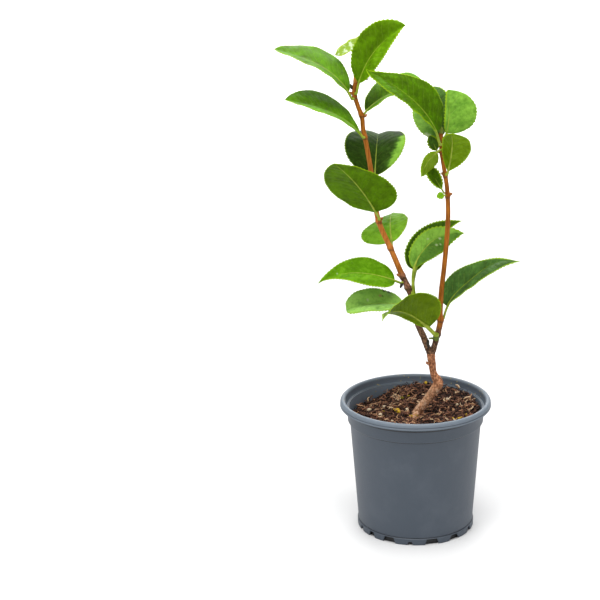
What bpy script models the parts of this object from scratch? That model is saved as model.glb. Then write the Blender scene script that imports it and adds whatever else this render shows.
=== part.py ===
"""A young camellia in its nursery pot, as separate solids.

Frame: metres, +Z up, origin on the ground under the middle of the pot, +X to the right and
+Y to the back of the view that the plant is usually shown from. The tables below are in
millimetres in that frame, and every solid is made from them by the functions that follow.
"""
import math
from collections import namedtuple

import bmesh
import bpy
from mathutils import Vector, noise

MM = 0.001
COLLECTION = "potted_camellia"
CLEARANCE = 0.35          # gap between pieces that touch on the plant

# Pot, a 12 cm nursery pot with a rolled rim, a collar and a notched foot
RIM_RADIUS = 60.0
RIM_TOP = 106.5
RIM_DEPTH = 5.2           # height of the rolled rim's outer face
MOUTH_RADIUS = 55.4
COLLAR_RADIUS = 54.2
COLLAR_FOOT = 88.5        # height where the collar steps in to the body
LEDGE_HEIGHT = 99.4       # height of the small step round the inside
LEDGE_WIDTH = 0.6
BODY_TOP_RADIUS = 52.2
BODY_FOOT_RADIUS = 46.2
FOOT_RING_RADIUS = 46.8
FOOT_RING_HEIGHT = 4.6
WALL = 1.5
FLOOR = 3.5
UNDERSIDE_CHANNEL = (14.0, 38.0, 1.4)     # inner radius, outer radius and depth
NOTCHES = 16
NOTCH_WIDTH = 7.5
NOTCH_HEIGHT = 3.4
NOTCH_TOP_SHARE = 0.72    # its width at the top, as a share of that at the ground
NOTCH_CUTTER_DEPTH = 3.0
NOTCH_CUTTER_FOOT = -2.0
NOTCH_PHASE = -4.0        # degrees, from the front
POT_STEPS = 48

# Soil, level at the trunk and banked up towards the back
SOIL_LEVEL = 92.0
SOIL_SLOPE_RIGHT = 0.06
SOIL_SLOPE_BACK = 0.14
SOIL_LEVEL_FRONT = -8.0   # nearer the front than this it is level
SOIL_DIP = (-34.0, 34.0, 20.0, 5.0)       # hollow at the left back: right, back, reach and depth
SOIL_LUMP = 1.3
SOIL_LUMP_SIZE = 9.0
SOIL_RINGS = 9
SOIL_SHOULDER = 1.4       # height over the collar's foot where the soil's straight wall starts
SOIL_EDGE = 0.5           # least height of that wall
TRUNK_PLACE = 11.0        # the soil is level to this distance from the trunk's middle
TRUNK_PLACE_EDGE = 8.0    # and blends into the slope over this distance

# Limbs: (right, back, up, radius) along each middle line
TRUNK = [(1, -3, 92, 4.7), (1, -3, 94, 4.0), (3.4, -4, 98.5, 3.5), (9.2, -6, 107, 3.3), (17, -8, 119.5, 3.8),
         (17.8, -8, 123, 3.8), (14.4, -8, 130, 2.8), (13.2, -8, 137, 2.9), (12.4, -8, 144, 3.3),
         (12.2, -8, 147, 3.2)]
SPUR = [(13.2, -8, 137, 1.3), (10.2, -8.6, 138.6, 1.3), (8.6, -9, 139.4, 1.0)]
LEFT_STEM = [(9.7, -7.8, 151, 2.5), (6.4, -7, 160, 2.5), (1.8, -6, 171, 2.5), (-2.6, -4, 191, 2.4),
             (-10.4, -2, 209, 2.3), (-18.4, 0, 228, 2.1), (-28, 2, 250, 2.1), (-31, 3, 268, 2.0),
             (-33.6, 4, 288, 1.9), (-37, 5, 309, 1.8), (-39.6, 6, 322, 1.8), (-40.4, 6, 331, 1.8),
             (-43.6, 7, 340, 1.8), (-46.2, 7, 349, 1.7), (-45.2, 7, 356, 2.0), (-45, 7, 360, 1.5),
             (-46.5, 7, 371, 1.0)]
RIGHT_STEM = [(14.5, -8.5, 151.5, 2.4), (16.6, -9, 160, 2.3), (19.4, -10, 173, 2.3), (19.2, -10.5, 182, 2.1),
              (20.2, -11, 200, 2.0), (22, -12, 217, 1.9), (24.2, -12, 243, 1.9), (24.8, -13, 263, 1.8),
              (23.8, -13, 281, 1.7), (21.4, -14, 296, 1.6), (19.6, -14, 308, 1.6), (19.2, -14, 316, 1.5),
              (19.1, -14, 321, 1.6), (19.0, -14, 324, 0.8)]
LIMB_STEP = 7.0           # length of a facet along a stem
TRUNK_STEP = 4.0          # and along the trunk and its stubs
LIMB_SIDES_RESOLUTION = 2
FORK_STUB = 3.0           # straight end of the trunk's stub under each stem
FORK_STUB_TAPER = 0.2     # how much thinner the stub starts inside the trunk
STEMS = {"left": LEFT_STEM, "right": RIGHT_STEM}

# Leaves
LEAF_ROWS = 12
LEAF_COLUMNS = 4
LEAF_THICKNESS = 0.95
STALK_THICKNESS = 1.9
STALK_HALF_WIDTH = 1.0
STALK_REACH = 1.4         # half the stalk's diagonal
TIP_HALF_WIDTH = 0.7
HOOK_POWER = 6            # how late the tip turns down
POINT_ONSET = 1.6         # how late a pointed leaf starts to narrow more
OUTER_FOLD = 0.3          # share of the fold that the outer half of each side keeps

Leaf = namedtuple("Leaf", "name stem height tip face width stalk arch bow skew square fold hook widest "
                  "point full off sides")


def pair(value):
    """A leaf's value for its left half and its right half."""
    return value if isinstance(value, tuple) else (value, value)


def leaf(name, stem, height, tip, face, width, stalk=5.0, arch=0.0, bow=0.0, skew=0.0, square=2.0,
         fold=15.0, hook=0.0, widest=0.48, point=0.0, full=1.3, off=None, sides=(1.0, 1.0)):
    """One leaf: it leaves its stem at a height; tip is where its tip lies from there and face where
    its upper side looks, both as (right, back, up). arch lifts the middle towards the face and bow
    shifts it sideways; skew moves both bends towards the stem and square sharpens them at the ends.
    hook turns the tip down and fold raises both sides, in degrees. widest is the share of the
    blade's length before its widest place, point draws the tip out and full is low for a blade with
    blunt ends. off is the side of the stem that the stalk leaves from where that isn't under the
    leaf, and sides scales the left and right halves. widest and point may differ for the halves."""
    return Leaf(name, stem, height, tip, face, width, stalk, arch, bow, skew, square, fold, hook,
                pair(widest), pair(point), full, off, sides)


LEAVES = [
    leaf("left_leaf_01", "left", 185, (-52, -8, 0), (-0.1, -0.45, 0.9), 28, arch=4, fold=24, hook=2,
         widest=(0.55, 0.6), full=0.8, sides=(0.85, 1.0)),
    leaf("left_leaf_02", "left", 194, (42, 18, 44), (0.3, -0.8, 0.5), 27, stalk=14, arch=4, bow=-16,
         square=2.4, fold=10, widest=(0.44, 0.58), point=(0.3, 0.5), off=(3, -2), sides=(0.97, 0.85)),
    leaf("left_leaf_03", "left", 195, (42, 46, 46), (0.3, -0.8, 0.5), 28, stalk=14, arch=4, bow=-12,
         fold=10, widest=(0.27, 0.38), point=(0.2, 0.6), off=(2, 3), sides=(0.97, 0.6)),
    leaf("left_leaf_04", "left", 204, (-67, -4, 2), (-0.1, -0.55, 0.85), 28, arch=10, skew=-0.1, fold=12,
         hook=4, widest=(0.33, 0.4), point=(1.0, 0.15), sides=(0.95, 1.05)),
    leaf("left_leaf_05", "left", 230, (2, 46, 17), (-0.25, -0.5, 0.8), 42, stalk=3, arch=8, fold=-20,
         widest=(0.36, 0.5), point=(0.3, 0.4), sides=(1.22, 0.64)),
    leaf("left_leaf_06", "left", 252.5, (-32, -30, 50), (0.3, 0.9, 0.4), 49, stalk=7, arch=4, bow=-1,
         fold=8, widest=(0.27, 0.5), sides=(1.0, 1.04), off=(1, -3)),
    leaf("left_leaf_07", "left", 282, (4, 52, 31), (0, -0.8, 0.6), 48, stalk=3, arch=10, fold=17, hook=4,
         widest=(0.4, 0.5), sides=(1.04, 0.92)),
    leaf("left_leaf_08", "left", 316, (-60, -5, 30), (-0.2, -0.25, 1), 34, stalk=3, arch=7, skew=0.35,
         fold=22, widest=(0.5, 0.68), point=(0.2, 0.3), off=(-1, -3), sides=(0.8, 1.1)),
    leaf("left_leaf_09", "left", 333, (46.5, 42, 11), (0, -0.25, 1), 38, stalk=2, arch=7, skew=0.4,
         fold=28, widest=(0.75, 0.4), full=0.8, sides=(1.0, 0.35)),
    leaf("left_leaf_10", "left", 346, (-61, 2, 37), (-0.2, -0.2, 1), 30, stalk=5, arch=9, skew=0.35,
         fold=14, widest=(0.42, 0.46), sides=(0.75, 1.38)),
    leaf("left_leaf_11", "left", 349, (39, -10, 52), (-0.3, -0.85, 0.35), 31, stalk=8, arch=5, bow=-6,
         fold=26, widest=(0.55, 0.45), point=(0.1, 0.6), off=(2.5, -3), sides=(1.06, 0.7)),
    leaf("left_leaf_12", "left", 367, (-12.8, 9, 14), (0, -0.8, 0.5), 9, stalk=3, arch=3, bow=16,
         skew=-0.3, square=3, fold=5, widest=0.65, full=0.8, off=(1, 4)),
    leaf("right_leaf_01", "right", 163, (-43, -50, 31), (0, 0.8, 0.5), 45, stalk=8, arch=11, fold=28,
         hook=5, widest=(0.31, 0.45), point=(0, 0.6), off=(-1, -3), sides=(1.05, 0.5)),
    leaf("right_leaf_02", "right", 175, (60, -6, 48), (-0.4, -0.45, 0.8), 34, stalk=8, arch=7.5, bow=-9,
         skew=-0.15, square=3.4, fold=28, widest=(0.28, 0.68), point=(1.1, 0.8), full=1.1,
         sides=(0.9, 0.85)),
    leaf("right_leaf_03", "right", 275, (-8, -3, -1), (0, -0.8, 0.5), 5, stalk=1, arch=1, fold=10, off=(-3, -3)),
    leaf("right_leaf_04", "right", 276, (-15, 5, 20), (-0.4, -0.5, 0.7), 11, stalk=3, arch=3, fold=20,
         widest=0.6, point=0.3, off=(-3, 3), sides=(0.8, 0.9)),
    leaf("right_leaf_05", "right", 291, (4, -34, 37), (0.45, 0.8, 0.4), 29, stalk=3, arch=4, fold=30,
         widest=(0.62, 0.5), point=(0, 0.5), off=(2, -3), sides=(0.95, 0.7)),
    leaf("right_leaf_06", "right", 310, (-15, -13, -18), (-0.4, 0.8, 0.5), 15, stalk=2, arch=3, fold=10,
         widest=(0.45, 0.4), point=(0.3, 0.2), off=(-1.5, -3), sides=(0.7, 1.5)),
    leaf("right_leaf_07", "right", 312, (-7, 32, 40), (-0.2, -0.8, 0.5), 32, stalk=4, arch=5, fold=10,
         widest=(0.48, 0.55), off=(-1, 3), sides=(1.0, 0.8)),
    leaf("right_leaf_08", "right", 314, (-55, -12, 58), (0.6, -0.5, 0.6), 34, stalk=9, arch=11, skew=0.25,
         fold=24, widest=(0.65, 0.36), point=(0.2, 0.6), off=(-1, -3), sides=(0.85, 1.25)),
    leaf("right_leaf_09", "right", 308, (-9, 2.5, 12), (0, -0.9, 0.4), 8, stalk=1.5, arch=1, fold=5,
         off=(-3.2, 1)),
    leaf("right_leaf_10", "right", 318, (5, 11, 35), (0.6, -0.7, 0.4), 45, stalk=4, arch=3, fold=22,
         widest=(0.42, 0.52), full=1.0, off=(3, 0), sides=(0.2, 1.0)),
]

COLOURS = {
    "pot": ((0.085, 0.108, 0.135), 0.42),
    "soil": ((0.045, 0.028, 0.018), 0.95),
    "bark": ((0.300, 0.170, 0.085), 0.80),
    "shoot": ((0.420, 0.150, 0.040), 0.50),
    "leaf": ((0.070, 0.190, 0.018), 0.35),
}


# Small tools

def finish_material(name):
    """The Principled material of one finish."""
    colour, roughness = COLOURS[name]
    material = bpy.data.materials.get(name) or bpy.data.materials.new(name)
    material.use_nodes = True
    shader = material.node_tree.nodes["Principled BSDF"]
    shader.inputs["Base Color"].default_value = (*colour, 1.0)
    shader.inputs["Roughness"].default_value = roughness
    shader.inputs["Metallic"].default_value = 0.0
    return material


def add_object(name, data, collection, finish=None):
    obj = bpy.data.objects.new(name, data)
    collection.objects.link(obj)
    if finish:
        data.materials.append(finish_material(finish))
    return obj


def mesh_from(bm, name):
    mesh = bpy.data.meshes.new(name)
    bm.to_mesh(mesh)
    bm.free()
    return mesh


def shade_round(mesh, angle=40.0):
    mesh.shade_smooth()
    mesh.set_sharp_from_angle(angle=math.radians(angle))


def baked(obj, name, collection, finish):
    """The evaluated shape of obj as a plain mesh object, welded, in place of obj."""
    evaluated = obj.evaluated_get(bpy.context.evaluated_depsgraph_get())
    mesh = bpy.data.meshes.new_from_object(evaluated)
    matrix = obj.matrix_world.copy()
    bpy.data.objects.remove(obj)
    bm = bmesh.new()
    bm.from_mesh(mesh)
    bmesh.ops.remove_doubles(bm, verts=bm.verts, dist=0.01 * MM)
    bm.to_mesh(mesh)
    bm.free()
    mesh.materials.clear()
    new = add_object(name, mesh, collection, finish)
    new.matrix_world = matrix
    return new


def smooth_route(points, step):
    """Points about a step apart on the smooth line through points, each with its radius."""
    rows = [Vector(p) for p in points]
    ends = [2 * rows[0] - rows[1]] + rows + [2 * rows[-1] - rows[-2]]
    route = []
    for p0, p1, p2, p3 in zip(ends, ends[1:], ends[2:], ends[3:]):
        count = max(1, round((p2 - p1).length / step))
        for i in range(count):
            t = i / count
            route.append(0.5 * (2 * p1 + (p2 - p0) * t + (2 * p0 - 5 * p1 + 4 * p2 - p3) * t ** 2
                                + (3 * p1 - p0 - 3 * p2 + p3) * t ** 3))
    return route + [rows[-1]]


def limb(name, points, collection, finish, step=LIMB_STEP):
    """A tapering limb: a curve along points that carries a round section with filled caps."""
    curve = bpy.data.curves.new(name, "CURVE")
    curve.dimensions = "3D"
    curve.bevel_depth = MM
    curve.bevel_resolution = LIMB_SIDES_RESOLUTION
    curve.use_fill_caps = True
    route = smooth_route(points, step)
    spline = curve.splines.new("POLY")
    spline.points.add(len(route) - 1)
    for point, row in zip(spline.points, route):
        point.co = (*(row.xyz * MM), 1.0)
        point.radius = row.w
    return add_object(name, curve, collection, finish)


# Pot and soil

def inner_radius(height):
    """Radius of the pot's inner wall at a height, in millimetres."""
    if height >= COLLAR_FOOT:
        return COLLAR_RADIUS - WALL
    share = (height - FOOT_RING_HEIGHT) / (COLLAR_FOOT - FOOT_RING_HEIGHT)
    return BODY_FOOT_RADIUS + (BODY_TOP_RADIUS - BODY_FOOT_RADIUS) * share - WALL


def pot_profile():
    """The pot's section from the middle of its floor, up inside, over the rim and down outside."""
    rim_middle = (RIM_RADIUS + MOUTH_RADIUS) / 2
    channel_in, channel_out, channel_depth = UNDERSIDE_CHANNEL
    lip = [(MOUTH_RADIUS, RIM_TOP - 2.0)]
    half = (RIM_RADIUS - MOUTH_RADIUS) / 2
    for degrees in (150, 110, 70, 30, 0):
        a = math.radians(degrees)
        lip.append((rim_middle + half * math.cos(a), RIM_TOP - half + half * math.sin(a)))
    inside = [
        (0, FLOOR),
        (inner_radius(FLOOR) - 2, FLOOR),
        (inner_radius(FLOOR + 2), FLOOR + 2),
        (inner_radius(COLLAR_FOOT - 2), COLLAR_FOOT - 2),
        (COLLAR_RADIUS - WALL, COLLAR_FOOT + 1),
        (COLLAR_RADIUS - WALL, LEDGE_HEIGHT - LEDGE_WIDTH),
        (COLLAR_RADIUS - WALL + LEDGE_WIDTH, LEDGE_HEIGHT),
        (COLLAR_RADIUS - WALL + LEDGE_WIDTH, RIM_TOP - RIM_DEPTH),
        (MOUTH_RADIUS - 0.6, RIM_TOP - RIM_DEPTH + 1.5),
    ]
    outside = [
        (RIM_RADIUS, RIM_TOP - RIM_DEPTH + 1.2),
        (RIM_RADIUS - 1.0, RIM_TOP - RIM_DEPTH),
        (COLLAR_RADIUS + 0.6, RIM_TOP - RIM_DEPTH - 0.4),
        (COLLAR_RADIUS, RIM_TOP - RIM_DEPTH - 1.4),
        (COLLAR_RADIUS - 0.4, COLLAR_FOOT + 1.0),
        (COLLAR_RADIUS - 1.0, COLLAR_FOOT),
        (BODY_TOP_RADIUS, COLLAR_FOOT - 1.0),
        (BODY_FOOT_RADIUS, FOOT_RING_HEIGHT + 1.0),
        (FOOT_RING_RADIUS, FOOT_RING_HEIGHT),
        (FOOT_RING_RADIUS, 0.6),
        (FOOT_RING_RADIUS - 0.6, 0),
        (channel_out, 0),
        (channel_out - channel_depth, channel_depth),
        (channel_in + channel_depth, channel_depth),
        (channel_in, 0),
        (0, 0),
    ]
    return inside + lip + outside


def notch_cutter(index, collection):
    """A wedge that cuts one notch through the lower edge of the foot ring."""
    bm = bmesh.new()
    bmesh.ops.create_cube(bm, size=1.0)
    for vert in bm.verts:
        is_top = vert.co.z > 0
        vert.co.x *= NOTCH_WIDTH * (NOTCH_TOP_SHARE if is_top else 1.0) * MM
        vert.co.y *= NOTCH_CUTTER_DEPTH * MM
        vert.co.z = (NOTCH_HEIGHT if is_top else NOTCH_CUTTER_FOOT) * MM
    cutter = add_object(f"notch_cutter_{index}", mesh_from(bm, "notch_cutter"), collection)
    angle = math.radians(NOTCH_PHASE - 90 + 360 * index / NOTCHES)
    reach = FOOT_RING_RADIUS * MM
    cutter.location = (reach * math.cos(angle), reach * math.sin(angle), 0)
    cutter.rotation_euler.z = angle - math.pi / 2
    cutter.hide_render = True
    cutter.display_type = "WIRE"
    return cutter


def make_pot(collection, cutters):
    bm = bmesh.new()
    verts = [bm.verts.new((r * MM, 0, z * MM)) for r, z in pot_profile()]
    for a, b in zip(verts, verts[1:]):
        bm.edges.new((a, b))
    pot = add_object("pot", mesh_from(bm, "pot"), collection, "pot")
    screw = pot.modifiers.new("turn", "SCREW")
    screw.steps = POT_STEPS
    screw.render_steps = POT_STEPS
    screw.use_merge_vertices = True
    screw.merge_threshold = 0.00001
    for index in range(NOTCHES):
        notch_cutter(index, cutters)
    cut = pot.modifiers.new("foot notches", "BOOLEAN")
    cut.operation = "DIFFERENCE"
    cut.operand_type = "COLLECTION"
    cut.collection = cutters
    return pot


def soil_height(x, y):
    """Height of the soil's surface over (x, y), in millimetres."""
    lumps = noise.noise(Vector((x, y, 0)) / SOIL_LUMP_SIZE) * SOIL_LUMP
    dip_x, dip_y, reach, depth = SOIL_DIP
    dip = depth * math.exp(-((x - dip_x) ** 2 + (y - dip_y) ** 2) / reach ** 2)
    return SOIL_LEVEL + SOIL_SLOPE_RIGHT * x + SOIL_SLOPE_BACK * max(y, SOIL_LEVEL_FRONT) - dip + lumps


def make_soil(collection):
    """Soil that fills the pot: a disc of rings with a lumpy top, closed down its wall and floor."""
    bm = bmesh.new()
    foot_x, foot_y, foot_z, _ = TRUNK[0]

    def ring(radius, height_at):
        row = []
        for i in range(POT_STEPS):
            a = 2 * math.pi * i / POT_STEPS
            x, y = radius * math.cos(a), radius * math.sin(a)
            row.append(bm.verts.new((x * MM, y * MM, height_at(x, y) * MM)))
        return row

    def surface(x, y):
        distance = math.hypot(x - foot_x, y - foot_y)
        slope = min(1.0, max(0.0, (distance - TRUNK_PLACE) / TRUNK_PLACE_EDGE))
        return slope * soil_height(x, y) + (1 - slope) * (foot_z - CLEARANCE)

    wall = COLLAR_RADIUS - WALL - CLEARANCE
    floor_height = FLOOR + 2.0 + CLEARANCE
    shoulder = COLLAR_FOOT + SOIL_SHOULDER
    rings = [ring(wall * i / SOIL_RINGS, surface) for i in range(1, SOIL_RINGS)]
    rings.append(ring(wall, lambda x, y: max(surface(x, y), shoulder + SOIL_EDGE)))
    rings.append(ring(wall, lambda x, y: shoulder))
    for height in (COLLAR_FOOT - 2.0 + CLEARANCE, floor_height):
        rings.append(ring(inner_radius(height) - CLEARANCE, lambda x, y, z=height: z))
    middle = bm.verts.new((0, 0, surface(0, 0) * MM))
    for i in range(POT_STEPS):
        j = (i + 1) % POT_STEPS
        bm.faces.new((middle, rings[0][i], rings[0][j]))
        for upper, lower in zip(rings, rings[1:]):
            bm.faces.new((upper[i], lower[i], lower[j], upper[j]))
    bm.faces.new(reversed(rings[-1]))
    return add_object("soil", mesh_from(bm, "soil"), collection, "soil")


# Trunk and stems

def fork_stub(stem):
    """The trunk's short limb under a stem: it ends just clear of the stem's start, facing it."""
    start = Vector(stem[0]).xyz
    way = unit(Vector(stem[1]).xyz - start)
    end = start - way * CLEARANCE
    inside = Vector(TRUNK[-2])
    radius = stem[0][3]
    return [(*inside.xyz, radius - FORK_STUB_TAPER), (*(end - way * FORK_STUB), radius), (*end, radius)]


def make_trunk(collection, helpers):
    """The trunk with its two fork stubs and the spur of a lost shoot, joined into one body."""
    trunk = baked(limb("trunk_limb", TRUNK, collection, "bark", TRUNK_STEP), "trunk", collection, "bark")
    stubs = (("left_fork", fork_stub(LEFT_STEM)), ("right_fork", fork_stub(RIGHT_STEM)), ("spur", SPUR))
    for name, points in stubs:
        part = baked(limb(name + "_limb", points, helpers, None, TRUNK_STEP), name, helpers, None)
        join = trunk.modifiers.new(name, "BOOLEAN")
        join.operation = "UNION"
        join.object = part
        part.hide_render = True
        part.display_type = "WIRE"
    return trunk


# Leaves

def unit(vector):
    return vector.normalized()


def stem_point(stem, height):
    """The stem's middle, its radius and its direction at a height."""
    rows = [Vector(row) for row in STEMS[stem]]
    for low, high in zip(rows, rows[1:]):
        if height <= high.z:
            row = low.lerp(high, (height - low.z) / (high.z - low.z))
            return row.xyz, row.w, unit((high - low).xyz)
    raise ValueError(f"{stem} stem ends below {height} mm")


def leaf_frame(leaf):
    """Start of the stalk, the line to the tip, the upper side's direction and the right side's."""
    middle, radius, stem_way = stem_point(leaf.stem, leaf.height)
    chord = Vector(leaf.tip)
    along = unit(chord)
    up = Vector(leaf.face)
    up = unit(up - along * up.dot(along))
    side = along.cross(up)
    start_way = unit(chord + 2 * leaf.square * (1 + leaf.skew) * (leaf.arch * up + leaf.bow * side))
    outward = Vector((*leaf.off, 0.0)) if leaf.off else start_way
    outward = unit(outward - stem_way * outward.dot(stem_way))
    lean = math.sqrt(max(0.0, 1 - start_way.dot(outward) ** 2))
    start = middle + outward * (radius + CLEARANCE + STALK_REACH * lean)
    return start, middle + chord - start, up, side


def blade_half_width(leaf, share, across):
    """Half-width at a share of the blade's length from its base, left where across is negative."""
    if share <= 0:
        return STALK_HALF_WIDTH
    half = 0 if across < 0 else 1
    widest = leaf.widest[half]
    early = leaf.full * widest
    late = leaf.full * (1 - widest)
    peak = widest ** early * (1 - widest) ** late
    width = leaf.width / 2 * leaf.sides[half] * share ** early * (1 - share) ** late / peak
    if share > widest:
        width *= (1 - ((share - widest) / (1 - widest)) ** POINT_ONSET) ** leaf.point[half]
    return max(width, TIP_HALF_WIDTH if share > 0.5 else STALK_HALF_WIDTH)


def leaf_bulge(leaf, along):
    """How far the leaf's middle is bent at a share of its length, and how fast that changes."""
    u = 2 * along - 1
    round_part = 1 - abs(u) ** leaf.square
    skew_part = 1 - leaf.skew * u
    change = -leaf.square * math.copysign(abs(u) ** (leaf.square - 1), u) * skew_part - leaf.skew * round_part
    return round_part * skew_part, 2 * change


def leaf_point(leaf, frame, along, across):
    """A point of the leaf's middle surface: along 0 at the stem to 1 at the tip, across -1 to 1."""
    start, chord, up, side = frame
    bulge, slope = leaf_bulge(leaf, along)
    middle = start + chord * along + side * leaf.bow * bulge
    middle += up * (leaf.arch * bulge - leaf.hook * along ** HOOK_POWER)
    hook_slope = HOOK_POWER * leaf.hook * along ** (HOOK_POWER - 1)
    way = unit(chord + up * (leaf.arch * slope - hook_slope) + side * leaf.bow * slope)
    raised = unit(up - way * up.dot(way))
    sideways = way.cross(raised)
    stalk_share = leaf.stalk / chord.length
    half = blade_half_width(leaf, (along - stalk_share) / (1 - stalk_share), across)
    inner = min(abs(across), 0.5) * half
    outer = max(abs(across) - 0.5, 0.0) * half
    fold = math.radians(leaf.fold)
    lift = inner * math.sin(fold) + outer * math.sin(fold * OUTER_FOLD)
    flat = inner * math.cos(fold) + outer * math.cos(fold * OUTER_FOLD)
    return middle + sideways * math.copysign(flat, across) + raised * lift


def make_leaf(leaf, collection):
    """A leaf with its stalk: a grid bent to the leaf's surface and thickened, the stalk more."""
    frame = leaf_frame(leaf)
    stalk_share = leaf.stalk / frame[1].length
    bm = bmesh.new()
    bmesh.ops.create_grid(bm, x_segments=LEAF_ROWS, y_segments=LEAF_COLUMNS, size=1.0)
    layer = bm.verts.layers.deform.verify()
    for vert in bm.verts:
        along, across = (vert.co.x + 1) / 2, vert.co.y
        vert.co = leaf_point(leaf, frame, along, across) * MM
        vert[layer][0] = 1.0 if along < stalk_share else LEAF_THICKNESS / STALK_THICKNESS
    obj = add_object(leaf.name, mesh_from(bm, leaf.name), collection, "leaf")
    obj.vertex_groups.new(name="thickness")
    solid = obj.modifiers.new("blade", "SOLIDIFY")
    solid.thickness = STALK_THICKNESS * MM
    solid.offset = 0.0
    solid.vertex_group = "thickness"
    return obj


def main():
    for obj in list(bpy.data.objects):
        bpy.data.objects.remove(obj)
    parts = bpy.data.collections.new(COLLECTION)
    notches = bpy.data.collections.new("notch_cutters")
    joined = bpy.data.collections.new("trunk_limbs")
    for collection in (parts, notches, joined):
        bpy.context.scene.collection.children.link(collection)
    make_pot(parts, notches)
    make_soil(parts)
    make_trunk(parts, joined)
    limb("left_stem", LEFT_STEM, parts, "shoot")
    limb("right_stem", RIGHT_STEM, parts, "shoot")
    for row in LEAVES:
        make_leaf(row, parts)
    for name in ("pot", "soil", "trunk"):
        shade_round(bpy.data.objects[name].data)


main()
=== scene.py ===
"""Looks of a young camellia in its nursery pot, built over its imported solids.

The tables are in millimetres in the object's own frame: +X right, +Y back, +Z up, origin on the
ground under the middle of the pot. Limbs and leaves follow the rule of the solids: a leaf leaves
its stem at a height and reaches to its tip, and its blade is bent to the line between them.
"""

import math
import random
from collections import namedtuple

import bmesh
import bpy
from mathutils import Matrix, Vector, noise


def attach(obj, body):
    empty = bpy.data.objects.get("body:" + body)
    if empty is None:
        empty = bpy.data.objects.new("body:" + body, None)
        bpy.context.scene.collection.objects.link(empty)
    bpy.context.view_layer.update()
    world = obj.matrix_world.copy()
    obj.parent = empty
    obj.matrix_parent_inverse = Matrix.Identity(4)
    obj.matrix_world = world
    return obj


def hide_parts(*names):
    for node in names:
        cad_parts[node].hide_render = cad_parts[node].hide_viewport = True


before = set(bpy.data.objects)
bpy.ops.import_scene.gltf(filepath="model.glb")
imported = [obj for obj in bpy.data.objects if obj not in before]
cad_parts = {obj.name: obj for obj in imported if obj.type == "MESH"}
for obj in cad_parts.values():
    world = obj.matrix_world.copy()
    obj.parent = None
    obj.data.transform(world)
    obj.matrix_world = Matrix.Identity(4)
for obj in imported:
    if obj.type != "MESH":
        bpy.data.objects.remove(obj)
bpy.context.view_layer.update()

MM = 0.001
CLEARANCE = 0.35

# Pot
RIM_RADIUS = 60.0
RIM_TOP = 106.5
RIM_DEPTH = 5.2
MOUTH_RADIUS = 55.4
COLLAR_RADIUS = 54.2
COLLAR_FOOT = 88.5
LEDGE_HEIGHT = 100.4      # the small step round the inside
LEDGE_WIDTH = 1.9
BODY_TOP_RADIUS = 52.2
BODY_FOOT_RADIUS = 46.2
FOOT_RING_RADIUS = 46.8
FOOT_RING_HEIGHT = 5.2
WALL = 1.5
FLOOR = 3.5
FLOOR_CORNER = 2          # bevel between floor and wall, inside
INNER_STEP = COLLAR_FOOT - 2              # the inner wall widens above this height
POT_STEPS = 192
SHARP_ANGLE = 35
# Parts of the pot's section that aren't round, as (outward, upward) from the edge named beside them
LEDGE_LIP = [(-0.2, 0.0), (0.2, 0.6)]                              # the ledge's outer edge
RIM_FLANK = [(-0.5, -3.2), (-0.05, -3.6), (0.0, -4.0)]             # the rim's outside at its top
RIM_HOLLOW = [(2.3, -0.1), (1.2, -0.9), (0.3, -2.1), (0.0, -3.1)]  # the collar at the rim's lower edge
BODY_STEP = [(0.35, 0.2), (0.05, -0.4), (-0.08, -1.4)]             # the body's top at the collar's foot
FOOT_STEP = [(0.0, 1.2), (0.0, 0.8), (-0.35, 0.4)]                 # the body's foot at the ring's top
RING_TOP = [(-0.3, 0.0), (0.0, -0.4)]                              # the foot ring's top
CHANNEL = [(40.0, 0), (38.6, 1.4), (15.4, 1.4), (14.0, 0)]         # (radius, height) under the pot
# Notches: degrees from the front, width at the ground, height and the top's share of that width
NOTCHES = [(-66, 5.5, 4.4, 0.4), (-47.6, 7.6, 4.6, 0.55), (-26.3, 11.2, 4.9, 0.7), (-5, 5.2, 3.0, 0.45),
           (16.4, 11.9, 4.9, 0.7), (41.1, 11.0, 4.7, 0.5), (66, 7.0, 4.4, 0.4)]
NOTCH_CUTTER_DEPTH = 5.0
NOTCH_CUTTER_FOOT = -2.0

# Soil
SOIL_LEVEL = 92.0
SOIL_SLOPE_RIGHT = 0.06
SOIL_SLOPE_BACK = 0.14
SOIL_LEVEL_FRONT = -8.0   # in front of this it doesn't slope to the back
SOIL_DIP = (-34.0, 34.0, 20.0, 5.0)       # hollow at the left back: right, back, reach and depth
SOIL_RADIUS = 52.3
SOIL_EDGE = COLLAR_FOOT + 1.9
SOIL_RINGS = 72
SOIL_STEPS = 220
SOIL_RIM = 4.0            # this near to the wall it lies no lower than SOIL_EDGE
BED_DROP = 1.3            # how far the bed lies below the crumbs
# Layers of lumps: which layer of the noise, how wide they are and how high
SOIL_LUMPS = (0, 9.0, 1.3)
BED_LUMPS = (3, 3.0, 0.9)
BED_GRIT = (7, 1.2, 0.5)
FIBRE_HEAPS = (5, 3.2, 3.4)
TRUNK_PLACE = 11.0        # radius of the level place round the trunk
TRUNK_PLACE_EDGE = 8.0
TRUNK_GAP = 4.5           # nearer to the trunk's middle than this no crumb lies
CRUMB_REACH = 50.5
FIBRE_REACH = 51.6
FIBRE_COUNT = 3600
FIBRE_STEPS = 5
# Ranges of a fibre's length, its turn at each step, its climb, its radius and its tone
FIBRE_LENGTHS = (2.0, 6.5)
FIBRE_CURLS = (-0.5, 0.5)
LYING_CLIMBS = (-0.1, 0.5)
STANDING_CLIMBS = (0.6, 1.2)
THIN_RADII = (0.22, 0.50)
THICK_RADII = (0.5, 0.9)
LIGHT_TONES = (0.45, 0.85)
FIBRE_TONES = (0.25, 0.17, 0.19)          # middle of the left half's tones, of the right's, and their spread
HEAP_TONE = 0.15          # how much lighter a fibre is for each millimetre that it lies higher
HEAP_LEVEL = 1.6          # how far above the soil a fibre keeps its tone
ROD_SIDES = 4
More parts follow.
